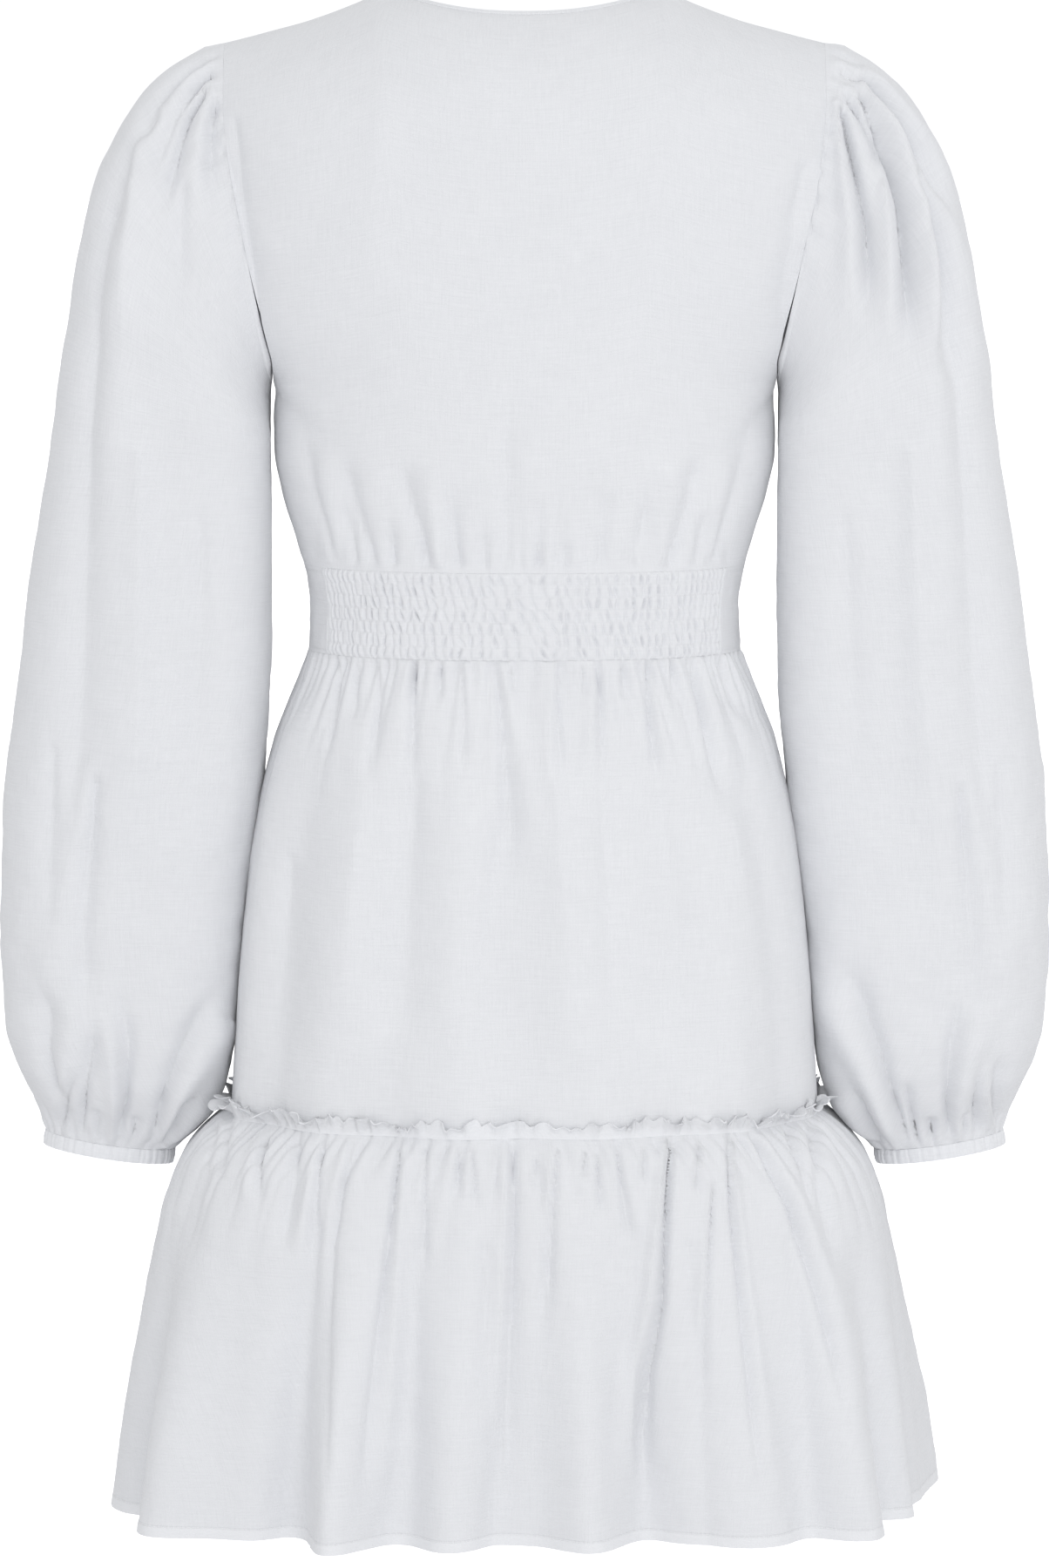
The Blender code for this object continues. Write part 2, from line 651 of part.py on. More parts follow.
def seam_outward(loop, under_arm):
    """At the armhole the wall's thickness lies along the seam's plane, and under the arm it turns to the body."""
    tangent = np.roll(loop, -1, axis=0) - np.roll(loop, 1, axis=0)
    level = np.cross(tangent, np.array([1.0, 0.0, 0.0]))
    level *= np.sign((level * (loop - loop.mean(axis=0))).sum(-1, keepdims=True))
    level /= np.linalg.norm(level, axis=-1, keepdims=True)
    toward_body = np.array([-1.0, 0.0, 0.0])
    share = under_arm[:, None]
    mixed = level * (1 - share) + toward_body * share
    return mixed / np.linalg.norm(mixed, axis=-1, keepdims=True)


def cuff_axes():
    lift = math.radians(SLEEVE_RINGS[-1][0])
    out = np.array([math.sin(lift), 0.0, math.cos(lift)])
    down = np.array([math.cos(lift), 0.0, -math.sin(lift)])
    return out, down


def cuff_outward(turns):
    """The direction out of the cuff's wall, square to the cuff's own line."""
    out, _ = cuff_axes()
    angle = np.radians(turns)[:, None]
    half_wide, half_deep = SLEEVE_RINGS[-1][3] / 2, SLEEVE_RINGS[-1][4]
    level = out * np.cos(angle) / half_wide + np.array([0, 1, 0]) * np.sin(angle) / half_deep
    return level / np.linalg.norm(level, axis=-1, keepdims=True)


def make_cuff(name, mirror):
    """The narrow elastic band at the wrist, ribbed by its gathers."""
    turns = np.linspace(0, 360, CUFF_GATHERS * 3, endpoint=False)
    _, down = cuff_axes()
    start = sleeve_ring(turns, np.ones_like(turns))
    ribs = 0.0006 * np.cos(np.radians(turns) * CUFF_GATHERS)
    away = cuff_outward(turns)
    rows = [
        start + down * step + away * ribs[:, None]
        for step in (SEAM_GAP * 2, CUFF_HEIGHT)
    ]
    outer = np.stack(rows)
    inner = outer - away * CUFF_CLOTH
    for grid in (outer, inner):
        grid[..., 0] *= mirror
    return cloth(name, outer, inner, True)


for old in list(bpy.data.objects):
    bpy.data.objects.remove(old)
neck_edges = make_bodice()
make_neck_binding(neck_edges)
make_waist()
make_skirt()
make_flounce()
make_heading()
for side_name, mirror_sign in (("left", 1), ("right", -1)):
    make_sleeve(f"{side_name}_sleeve", mirror_sign)
    make_cuff(f"{side_name}_cuff", mirror_sign)
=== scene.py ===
"""The looks of a short white linen dress, filled out as if worn and seen from the back.

Each cloth piece is a thin wall on the form of its frame node, with its gathers, creases, shirring
and hem drawn as soft relief. The linen's weave, slubs and stitches are in its material. Metres,
+Z up, the front faces -Y."""

import math

import bpy
import numpy as np
from bpy.props import FloatProperty, FloatVectorProperty, IntProperty, PointerProperty
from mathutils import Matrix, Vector, noise


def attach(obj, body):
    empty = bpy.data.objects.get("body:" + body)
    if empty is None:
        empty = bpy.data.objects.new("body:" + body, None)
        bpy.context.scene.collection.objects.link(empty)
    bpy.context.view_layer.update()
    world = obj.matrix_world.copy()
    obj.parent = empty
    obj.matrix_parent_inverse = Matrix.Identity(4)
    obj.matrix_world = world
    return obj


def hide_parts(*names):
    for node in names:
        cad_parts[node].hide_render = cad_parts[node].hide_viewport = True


bl_info = {
    "name": "Linen dress",
    "version": (1, 0, 0),
    "blender": (4, 5, 0),
    "location": "3D View > Sidebar > Dress",
    "description": "Builds the cloth, sewing and studio of a white linen dress",
    "category": "Object",
}

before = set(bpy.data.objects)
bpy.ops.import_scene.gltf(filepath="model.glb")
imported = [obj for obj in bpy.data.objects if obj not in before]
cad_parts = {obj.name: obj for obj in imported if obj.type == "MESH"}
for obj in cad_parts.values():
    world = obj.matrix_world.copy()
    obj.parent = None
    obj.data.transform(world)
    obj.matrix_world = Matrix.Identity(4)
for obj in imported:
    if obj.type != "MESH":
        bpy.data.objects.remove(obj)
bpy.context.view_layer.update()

MM = 0.001

# Seams of the dress, as the frame has them
WAIST_TOP = -0.3245
WAIST_BOTTOM = -0.3735
FLOUNCE_SEAM = -0.6380
HEM = -0.8690
UNDERARM = -0.2220
NECK_HALF_WIDTH = 0.0780
NECK_POINT = 0.0
BACK_NECK_DROP = 0.0140
BACK_NECK_CURVE = 2.2
FRONT_NECK_DROP = 0.1750
SHOULDER_HALF_WIDTH = 0.1700
SHOULDER_ROUND = 0.0750
SQUARENESS = 2.3
SHIRRING_HALF_WIDTH = 0.1105
SEAM_GAP = 0.00005

# Degrees left open at each side seam, and from which angle an edge is sharp
SIDE_GAP = 0.012
SHARP_FROM = 70

# The sleeve between the armhole's edge and its first ring: its share of the way down, how quickly it
# turns into the seam, and its length in metres
CAP_EASE = 0.03
CAP_TURN = 1.4
CAP_LENGTH = 0.011

# Metres from the top of the armhole round to its foot, and all round the wrist, for the sleeve's gathers
CAP_HALF = 0.2
WRIST = 0.22

# Rows of points down a sleeve, points round it, and how much denser they are behind than in front
SLEEVE_ROWS = 248
SLEEVE_TURNS = 220
DENSER_BEHIND = 0.25

# How much of the cap's relief is taken off at the sleeve's outline
OUTLINE_CALM = 0.85

# How much fuller than an oval the sleeve is at its corners
FULL_LOW_BEHIND = 0.20
FULL_HIGH_BEHIND = 0.09
FULL_IN_FRONT = 0.06

# Metres of each gathered seam from the centre back to the side seam
SKIRT_QUARTER = 0.21
FLOUNCE_QUARTER = 0.24

# A crease's raised edge, in the measure of its valley: how far beside it, how wide and how high
LIP_AWAY = 2.2
LIP_WIDE = 1.6
LIP_HIGH = 0.5

# How uneven the gathers are: their step, length, depth and slant
STEP_SHIFT = 0.33
LENGTH_RANGE = (0.45, 1.45)
DEPTH_RANGE = (0.45, 1.25)
DRIFT = 0.035

# Gathers of each seam: how many, from and to where along it, depth, width and length
BODICE_GATHERS = (24, (-0.12, 0.12), 0.0030, 0.0024, 0.062)
SKIRT_GATHERS = (40, (-0.2, 0.2), 0.0040, 0.0021, 0.085)
FLOUNCE_GATHERS = (52, (-0.23, 0.23), 0.0034, 0.0016, 0.065)
CAP_GATHERS = (22, (-0.11, 0.11), 0.0038, 0.0024, 0.060)
WRIST_GATHERS = (28, (0, WRIST), 0.0036, 0.0022, 0.045)
CUFF_GATHERS = (44, (0, 1), 0.0007, 0.004, 1.0)

# Crumpling of each piece in its sizes: share of the depth, metres across its patches, and seed
BODICE_CRUMPLE = ((0.7, 0.030, 1), (0.35, 0.011, 4))
SHIRRED_CRUMPLE = ((0.6, 0.012, 12),)
BAND_CRUMPLE = ((1, 0.018, 13), (0.5, 0.006, 14))
SKIRT_CRUMPLE = ((1, 0.034, 22), (0.4, 0.010, 24))
FLOUNCE_CRUMPLE = ((1, 0.030, 32), (0.45, 0.009, 34))
SLEEVE_CRUMPLE = ((1.2, 0.034, 53), (0.5, 0.011, 56))

# How far the shirring and the doubled hem stand proud, and how deep the rows of elastic lie
SHIRRING_PROUD = 0.0013
HEM_PROUD = 0.0003
ELASTIC_DEPTH = 0.00035

# The walls of the heading's single cloth and of the doubled cuffs
HEADING_WALL = 0.0006
CUFF_WALL = 0.0014

# The seam's pull on the cloth under the arm: between which heights, how deep and how wide
UNDERARM_PULL = (-0.275, -0.225, -0.20, -0.15)
PULL_DEPTH = 0.0013
PULL_WIDTH = 0.0035

# Patches of noise in a metre across and down the cloth: the slubs of both threads, and its cloudy tone
SLUBS_ACROSS = (45.0, 1150.0, 1.0)
SLUBS_DOWN = (1000.0, 60.0, 1.0)
CLOUD = (28.0, 28.0, 1.0)

# What the weave, its slubs and the cloudy tone add to the linen's height or tone, and how much lighter a
# turned hem is painted, as painted light for less shade showing through doubled cloth
WEAVE_LIFT = 0.07
SLUB_SHADE = 0.5
CLOUD_SHADE = 0.25
HEM_PAINTED_LIGHT = 0.45

# A row of stitches: half its width in thread pitches, the beat below which its thread is hidden, how high
# the thread stands and how deep the row lies
STITCH_WIDE = 0.45
STITCH_SPACE = -0.45
STITCH_LIFT = 2.2
STITCH_TRENCH = -0.9

# Where the linen's tone is darkest and lightest, and where lightest on a piece whose turned hem is painted
# lighter
DARK_AT = 0.30
LIGHT_AT = 0.86
LIGHT_AT_PAINTED_HEM = 1.05

# Rows of stitches in metres from a piece's lower edge
NARROW_STITCHES = (0.0022,)
BAND_STITCHES = (0.0022, 0.0468)

# The studio: the floor, how white the surround looks, and where the lights and the camera aim
FLOOR_RADIUS = 60.0
SEEN_WHITE = 1.05
LIGHTS_AIM = -0.45
CAMERA_AIM = -0.4525
CAMERA_AWAY = 4.0
CAMERA_TILT = 6
LENS = 160

BODY_COLUMNS = ("height", "half_width", "back", "front")
BODY = (
    (0.0200, 0.1900, 0.086, 0.074),
    (-0.0300, 0.1885, 0.090, 0.080),
    (-0.0650, 0.1880, 0.094, 0.090),
    (-0.1300, 0.1820, 0.098, 0.108),
    (-0.1650, 0.1710, 0.099, 0.117),
    (-0.1950, 0.1570, 0.099, 0.121),
    (-0.2120, 0.1475, 0.099, 0.121),
    (-0.2220, 0.1435, 0.099, 0.120),
    (-0.2600, 0.1428, 0.099, 0.115),
    (-0.2860, 0.1378, 0.097, 0.107),
    (-0.3060, 0.1315, 0.095, 0.101),
    (-0.3245, 0.1262, 0.093, 0.096),
    (-0.3470, 0.1225, 0.092, 0.094),
    (-0.3735, 0.1235, 0.094, 0.096),
    (-0.3870, 0.1280, 0.097, 0.099),
    (-0.4070, 0.1363, 0.102, 0.103),
    (-0.4270, 0.1440, 0.107, 0.107),
    (-0.4800, 0.1555, 0.115, 0.113),
    (-0.5600, 0.1640, 0.121, 0.119),
    (-0.6380, 0.1690, 0.126, 0.124),
)
FLOUNCE_COLUMNS = ("height", "half_width", "back", "front", "squareness")
FLOUNCE_BODY = (
    (-0.6380, 0.1695, 0.1265, 0.1245, 2.30),
    (-0.6450, 0.1780, 0.1305, 0.1285, 2.32),
    (-0.6550, 0.1885, 0.1335, 0.1315, 2.34),
    (-0.6680, 0.1980, 0.1355, 0.1335, 2.38),
    (-0.7090, 0.2110, 0.1375, 0.1355, 2.44),
    (-0.7490, 0.2180, 0.1385, 0.1365, 2.48),
    (-0.8090, 0.2275, 0.1395, 0.1375, 2.54),
    (-0.8690, 0.2345, 0.1400, 0.1380, 2.60),
)
SHOULDER_COLUMNS = ("across", "height")
SHOULDER_LINE = (
    (0.000, 0.0070),
    (0.040, 0.0055),
    (0.078, 0.0000),
    (0.096, -0.0072),
    (0.111, -0.0130),
    (0.126, -0.0180),
    (0.141, -0.0220),
    (0.156, -0.0260),
    (0.170, -0.0295),
)
ARMHOLE_COLUMNS = ("height", "across")
ARMHOLE_EDGE = (
    (-0.2220, 0.1435),
    (-0.2120, 0.1430),
    (-0.1950, 0.1465),
    (-0.1650, 0.1530),
    (-0.1300, 0.1600),
    (-0.0950, 0.1665),
    (-0.0650, 0.1695),
    (-0.0295, 0.1700),
)
SLEEVE_COLUMNS = ("lift", "inner", "inner_height", "reach", "half_depth", "forward")
SLEEVE_RINGS = (
    (11.0, 0.1442, -0.2228, 0.1950, 0.0625, 0.000),
    (20.0, 0.1444, -0.2250, 0.1870, 0.0665, 0.000),
    (35.0, 0.1447, -0.2290, 0.1640, 0.0690, 0.000),
    (50.0, 0.1449, -0.2350, 0.1415, 0.0690, 0.000),
    (66.0, 0.1451, -0.2430, 0.1265, 0.0680, -0.002),
    (80.0, 0.1452, -0.2540, 0.1240, 0.0665, -0.004),
    (90.0, 0.1452, -0.2800, 0.1290, 0.065, -0.007),
    (90.0, 0.1453, -0.3600, 0.1415, 0.066, -0.014),
    (90.0, 0.1510, -0.4500, 0.1480, 0.068, -0.022),
    (90.0, 0.1605, -0.5250, 0.1425, 0.068, -0.028),
    (89.0, 0.1665, -0.5880, 0.1350, 0.065, -0.030),
    (86.0, 0.1730, -0.6240, 0.1220, 0.058, -0.030),
    (82.5, 0.1840, -0.6500, 0.1025, 0.045, -0.030),
    (81.4, 0.2030, -0.6680, 0.0760, 0.029, -0.030),
)

# Large folds: degrees round from the wearer's left at the top and at the bottom, push out in metres,
# and spread in degrees
SKIRT_FOLDS = (
    (24, 20, 0.0030, 6.0),
    (40, 34, -0.0035, 6.0),
    (54, 50, 0.0030, 6.0),
    (68, 66, -0.0030, 5.0),
    (78, 80, 0.0035, 5.0),
    (88, 89, -0.0030, 4.0),
    (99, 101, 0.0030, 5.0),
    (112, 116, -0.0035, 6.0),
    (126, 133, 0.0030, 6.0),
    (142, 150, -0.0030, 6.0),
    (208, 204, 0.0028, 7.0),
    (226, 221, -0.0035, 6.0),
    (243, 240, 0.0032, 6.0),
    (258, 258, -0.0030, 5.0),
    (271, 272, 0.0032, 6.0),
    (286, 289, -0.0032, 6.0),
    (302, 307, 0.0030, 6.0),
    (320, 327, -0.0030, 6.0),
)
FLOUNCE_FOLDS = (
    (6, 4, 0.004, 7.0),
    (20, 20, -0.012, 6.0),
    (35, 35, 0.019, 9.0),
    (59, 61, -0.016, 4.5),
    (67, 69, 0.027, 5.0),
    (77, 77, -0.010, 4.0),
    (84, 84, 0.013, 4.5),
    (90, 90, -0.016, 3.6),
    (95, 95, 0.018, 4.5),
    (101, 102, -0.023, 5.0),
    (114, 118, 0.010, 7.0),
    (126, 128, -0.006, 4.0),
    (136, 138, 0.018, 7.0),
    (150, 153, -0.018, 6.0),
    (170, 172, -0.012, 8.0),
    (196, 198, 0.018, 9.0),
    (220, 219, -0.016, 6.0),
    (234, 232, 0.018, 7.0),
    (248, 247, -0.016, 5.0),
    (259, 259, 0.018, 6.0),
    (271, 272, -0.018, 5.5),
    (284, 285, 0.019, 6.5),
    (298, 299, -0.017, 6.0),
    (312, 313, 0.018, 8.0),
    (329, 330, -0.014, 6.0),
    (344, 345, 0.012, 7.0),
)

# Creases listed one by one: push and width in mm, the side with a raised edge (1 is the wearer's left of a
# path that runs down, -1 the right, 0 neither), and the path in mm to the wearer's left and mm up
LEFT_CAP = (
    (-2.6, 3.4, 1, ((174, -62), (176, -76), (176, -94), (174, -118))),
    (-3.4, 3.6, 1, ((181, -58), (189, -69), (194, -84), (199, -103), (203, -128))),
    (-3.6, 3.6, 1, ((178, -46), (187, -56), (196, -69), (204, -88), (211, -112))),
    (-2.6, 3.4, 1, ((174, -37), (186, -43), (199, -55), (211, -71), (221, -93))),
    (-1.8, 4.6, 1, ((207, -72), (219, -90), (226, -115), (231, -148))),
    (2.4, 9.0, 0, ((215, -85), (219, -120), (223, -152), (224, -209))),
    (-2.0, 6.0, 0, ((191, -110), (193, -140), (192, -175))),
    (-1.5, 2.8, 0, ((171, -32), (181, -35), (193, -43))),
)
RIGHT_CAP = (
    (-4.6, 3.4, 1, ((-179, -68), (-182, -85), (-186, -105), (-191, -131), (-193, -158), (-192, -190))),
    (-5.6, 3.8, -1, (
        (-190, -60), (-199, -76), (-207, -97), (-213, -119), (-215, -145), (-216, -176), (-216, -210)
    )),
    (-4.2, 3.4, -1, ((-193, -50), (-204, -64), (-217, -82), (-228, -98), (-236, -114), (-242, -134))),
    (-3.2, 3.2, -1, ((-182, -60), (-190, -70), (-197, -83), (-203, -103))),
    (-3.2, 5.0, -1, ((-222, -104), (-229, -122), (-235, -150), (-238, -190), (-243, -235))),
    (-1.8, 2.8, -1, ((-179, -45), (-191, -50), (-205, -60), (-219, -76))),
    (-1.5, 2.8, 0, ((-177, -36), (-188, -40), (-202, -50))),
    (2.6, 6.0, 0, ((-201, -110), (-204, -135), (-205, -165), (-203, -209))),
    (1.8, 5.0, 0, ((-224, -140), (-227, -170), (-228, -214))),
)
BACK_FLOUNCE = (
    (-2.0, 2.2, 1, ((146, -645), (150, -657), (151, -668), (150, -680))),
    (-2.6, 5.0, 0, ((127, -635), (130, -654), (134, -679), (137, -710))),
    (-1.4, 2.8, 1, ((97, -645), (102, -665), (108, -700), (112, -750), (112, -800), (110, -855))),
    (-1.8, 2.4, 1, ((112, -640), (116, -658), (119, -690), (121, -716))),
    (-2.2, 3.0, -1, ((70, -641), (74, -680), (78, -720), (82, -770), (87, -815), (93, -860))),
    (-1.4, 2.0, 0, ((55, -645), (56, -669), (57, -722))),
    (-1.4, 1.8, 0, ((37, -645), (37, -673))),
    (-1.5, 1.8, 0, ((29, -644), (27, -681))),
    (-1.0, 1.6, 0, ((15, -646), (17, -673))),
    (-2.4, 3.4, 1, ((7, -643), (6, -670), (7, -720), (8, -770), (10, -820), (14, -868))),
    (-1.4, 1.8, 0, ((-7, -647), (-5, -668))),
    (-1.6, 2.8, 1, ((-18, -645), (-15, -687), (-12, -722), (-8, -764))),
    (-1.6, 4.5, 0, ((-9, -655), (-11, -700), (-12, -735))),
    (-1.3, 1.8, 0, ((-34, -646), (-32, -662))),
    (-1.6, 2.0, 0, ((-41, -649), (-43, -686))),
    (-1.6, 2.2, -1, ((-52, -647), (-56, -675), (-59, -701))),
    (-1.2, 1.8, 0, ((-67, -645), (-66, -665))),
    (-3.4, 3.0, 1, ((-82, -643), (-79, -685), (-76, -730), (-68, -772), (-66, -812), (-70, -866))),
    (-1.4, 1.8, 0, ((-98, -642), (-96, -673))),
    (-1.8, 2.2, -1, ((-114, -638), (-117, -684), (-122, -732), (-128, -790), (-136, -862))),
    (-1.4, 2.0, 1, ((-106, -668), (-103, -720), (-100, -765), (-100, -800))),
    (-2.4, 3.2, -1, ((-128, -640), (-139, -660), (-150, -680), (-168, -736), (-178, -778), (-186, -816))),
    (-1.6, 2.4, -1, ((-146, -637), (-156, -657), (-167, -691))),
    (-1.8, 4.0, -1, ((-161, -637), (-170, -684), (-180, -725))),
    (-1.6, 2.4, 1, ((165, -634), (170, -648), (175, -673))),
    (-1.6, 4.0, 1, ((175, -647), (187, -681), (194, -715))),
    (-1.8, 10.0, 0, ((116, -690), (124, -770), (134, -960))),
    (-1.6, 9.0, 0, ((60, -700), (64, -790), (68, -960))),
    (-1.8, 8.0, 0, ((22, -700), (18, -790), (14, -960))),
    (-1.6, 9.0, 0, ((-92, -700), (-98, -790), (-106, -960))),
    (-1.6, 9.0, 0, ((-150, -700), (-158, -790), (-168, -960))),
)
BACK_SKIRT = (
    (-1.4, 2.0, 0, ((105, -377), (108, -402), (112, -432))),
    (-1.2, 1.8, 0, ((95, -376), (97, -411))),
    (-1.4, 2.2, 0, ((82, -376), (84, -403), (85, -432))),
    (-2.0, 2.4, 1, ((62, -375), (63, -402), (64, -441))),
    (-1.3, 1.8, 0, ((47, -376), (48, -398))),
    (-1.5, 2.4, 0, ((35, -376), (34, -407), (35, -441))),
    (-2.4, 4.4, -1, ((17, -373), (15, -386), (12, -412), (9, -451), (7, -500))),
    (-1.4, 2.0, 0, ((8, -377), (5, -393))),
    (-1.6, 2.4, 1, ((-19, -375), (-19, -407), (-21, -451))),
    (-1.2, 1.8, 0, ((-33, -376), (-32, -395))),
    (-1.6, 2.4, 1, ((-42, -375), (-43, -407), (-44, -441))),
    (-1.3, 1.8, 0, ((-55, -377), (-56, -398))),
    (-1.8, 2.4, -1, ((-69, -375), (-71, -407), (-75, -446))),
    (-1.3, 1.8, 0, ((-83, -376), (-85, -400))),
    (-2.2, 2.6, -1, ((-95, -375), (-99, -393), (-105, -422), (-112, -456))),
    (-1.6, 2.4, -1, ((-108, -373), (-114, -388), (-122, -412))),
    (1.6, 12.0, 0, ((89, -441), (99, -520), (102, -608))),
    (1.8, 14.0, 0, ((-18, -432), (-23, -520), (-24, -618))),
    (-1.8, 11.0, 0, ((14, -470), (19, -530), (21, -613))),
    (-1.6, 10.0, 0, ((62, -440), (66, -510), (68, -600))),
    (-1.6, 10.0, 0, ((-44, -440), (-48, -510), (-52, -600))),
    (-1.6, 12.0, 0, ((-77, -451), (-85, -520), (-91, -608))),
    (1.6, 12.0, 0, ((-116, -466), (-125, -530), (-135, -603))),
    (-1.8, 10.0, 0, ((133, -490), (138, -549), (144, -608))),
)
BACK_BODICE = (
    (-1.3, 4.0, 1, ((106, -323), (112, -301), (120, -278), (127, -240))),
    (-1.2, 3.0, 0, ((94, -324), (98, -306), (105, -284))),
    (-1.6, 4.0, 0, ((83, -324), (90, -305), (97, -283), (103, -255))),
    (-1.1, 3.0, 0, ((74, -324), (76, -300))),
    (-2.2, 5.0, 1, ((52, -325), (58, -305), (65, -283), (71, -255))),
    (-1.1, 3.0, 0, ((35, -325), (39, -307), (43, -280))),
    (-1.1, 3.0, 0, ((21, -326), (23, -300))),
    (-1.4, 5.0, 0, ((8, -326), (9, -300), (10, -262), (8, -220))),
    (-1.2, 3.6, 0, ((-7, -326), (-8, -308), (-10, -279))),
    (-1.1, 3.0, 0, ((-22, -326), (-24, -306))),
    (-1.4, 3.6, 0, ((-40, -325), (-43, -305), (-49, -274))),
    (-1.4, 3.6, 0, ((-59, -325), (-64, -307), (-71, -278))),
    (-2.2, 5.0, -1, ((-81, -324), (-87, -305), (-94, -283), (-100, -250))),
    (-1.2, 3.0, 0, ((-95, -323), (-100, -308), (-104, -288))),
    (-1.4, 4.0, -1, ((-107, -321), (-113, -302), (-122, -272), (-129, -240))),
    (-1.4, 6.0, 0, ((163, -74), (161, -109), (155, -148), (147, -190))),
    (-1.6, 4.0, 1, ((-171, -108), (-169, -129), (-166, -155))),
    (-1.6, 7.0, 0, ((-157, -100), (-152, -135), (-147, -172), (-140, -205))),
    (-1.0, 8.0, 0, ((142, -227), (123, -246), (99, -261))),
    (-1.0, 8.0, 0, ((-144, -227), (-126, -249), (-100, -266))),
    (0.8, 16.0, 0, ((79, -60), (84, -129), (79, -197))),
    (0.8, 16.0, 0, ((-82, -60), (-88, -129), (-82, -197))),
)
LEFT_ARM = (
    (-2.4, 9.5, -1, (
        (232, -125), (241, -175), (247, -250), (249, -330), (253, -420), (258, -500), (262, -560)
    )),
    (1.8, 10.0, 0, ((217, -259), (217, -379), (224, -499))),
    (-1.6, 9.0, 0, ((182, -299), (184, -379), (189, -469))),
    (-1.4, 6.0, 0, ((269, -429), (272, -499), (269, -558))),
    (-3.0, 6.0, 1, ((269, -630), (274, -605), (273, -585), (277, -560))),
    (-2.2, 6.0, 1, ((243, -447), (247, -489), (252, -531), (251, -562), (250, -604))),
    (-2.2, 3.4, 0, ((268, -651), (263, -633), (255, -611))),
    (-2.2, 3.0, 0, ((256, -653), (253, -633), (247, -603), (245, -578))),
    (-1.8, 2.6, 0, ((247, -654), (245, -638))),
    (-3.0, 3.6, -1, ((233, -653), (229, -635), (227, -600), (230, -566))),
    (-1.8, 2.6, 0, ((225, -657), (223, -643))),
    (-3.6, 4.6, 1, ((212, -653), (206, -630), (194, -602), (181, -577), (168, -569))),
    (-2.2, 3.0, 1, ((206, -659), (196, -643), (187, -629))),
)
RIGHT_ARM = (
    (-2.4, 9.5, 1, (
        (-235, -135), (-244, -190), (-251, -300), (-257, -400), (-265, -490), (-269, -560)
    )),
    (1.8, 10.0, 0, ((-217, -259), (-223, -379), (-237, -499))),
    (-1.6, 9.0, 0, ((-181, -299), (-185, -379), (-192, -469))),
    (-1.4, 6.0, 0, ((-271, -439), (-275, -499), (-272, -558))),
    (-4.4, 5.2, -1, ((-219, -657), (-212, -635), (-203, -606), (-191, -574), (-180, -545))),
    (-2.8, 2.8, 0, ((-226, -660), (-222, -641), (-218, -618))),
    (-2.4, 2.6, 0, ((-235, -659), (-234, -643))),
    (-3.2, 4.2, 1, ((-246, -655), (-243, -635), (-244, -604), (-250, -566))),
    (-2.2, 6.0, -1, ((-247, -452), (-251, -495), (-256, -540), (-254, -590))),
    (-1.8, 2.6, 0, ((-255, -656), (-254, -641))),
    (-2.4, 3.4, 0, ((-263, -654), (-260, -633), (-262, -603))),
    (-2.4, 3.4, -1, ((-273, -648), (-271, -629), (-273, -605))),
    (-2.2, 3.0, -1, ((-205, -661), (-195, -643), (-187, -623))),
)


def table(columns, rows):
    """The rows as one array for each named column."""
    return dict(zip(columns, np.array(rows, float).T))


def through(keys, values, at):
    """A smooth curve through a table's rows, with no overshoot between them."""
    order = np.argsort(keys)
    x, y = keys[order], values[order]
    at = np.clip(at, x[0], x[-1])
    step = np.diff(x)
    slope = np.diff(y) / step
    tangent = np.zeros(len(x))
    tangent[0], tangent[-1] = slope[0], slope[-1]
    same_way = slope[1:] * slope[:-1] > 0
    before, after = slope[:-1][same_way], slope[1:][same_way]
    tangent[1:-1][same_way] = 2 * before * after / (before + after)
    i = np.clip(np.searchsorted(x, at, side="right") - 1, 0, len(step) - 1)
    t = (at - x[i]) / step[i]
    return (
        y[i] * (1 + 2 * t) * (1 - t) ** 2
        + tangent[i] * step[i] * t * (1 - t) ** 2
        + y[i + 1] * t * t * (3 - 2 * t)
        + tangent[i + 1] * step[i] * t * t * (t - 1)
    )


def eased(low, high, value):
    """0 up to low, 1 from high, and a soft step between."""
    t = np.clip((value - low) / (high - low), 0, 1)
    return t * t * (3 - 2 * t)


BODY_AT = table(BODY_COLUMNS, BODY)
FLOUNCE_AT = table(FLOUNCE_COLUMNS, FLOUNCE_BODY)
SHOULDER_AT = table(SHOULDER_COLUMNS, SHOULDER_LINE)
ARMHOLE_AT = table(ARMHOLE_COLUMNS, ARMHOLE_EDGE)
SLEEVE_AT = table(SLEEVE_COLUMNS, SLEEVE_RINGS)
SHOULDER_POINT = SHOULDER_LINE[-1][1]


def body(column, height):
    """A measure of the body's section at that height."""
    return through(BODY_AT["height"], BODY_AT[column], height)


def shoulder_height(across):
    """Height of the shoulder line at that distance from the middle."""
    return through(SHOULDER_AT["across"], SHOULDER_AT["height"], np.abs(across))


def armhole_across(height):
    """How far from the middle the armhole's edge is at that height."""
    return through(ARMHOLE_AT["height"], ARMHOLE_AT["across"], height)


def body_depth(across, height, side):
    """How far the bodice stands behind (side 1) or before (side -1) the shoulder line."""
    reach = np.clip(np.abs(across) / body("half_width", height), 0, 1)
    section = (1 - reach**SQUARENESS) ** (1 / SQUARENESS)
    down = np.clip((shoulder_height(across) - height) / SHOULDER_ROUND, 0, 1)
    rounding = np.sqrt(1 - (1 - down) ** 2)
    depth = np.where(side > 0, body("back", height), body("front", height))
    return side * depth * section * rounding


def neck_edge(across, side):
    """Height of the neckline: a shallow curve at the back and a V at the front."""
    share = np.clip(np.abs(across) / NECK_HALF_WIDTH, 0, 1)
    back = NECK_POINT - BACK_NECK_DROP * (1 - share**BACK_NECK_CURVE)
    front = NECK_POINT - FRONT_NECK_DROP * (1 - share)
    return back if side > 0 else front


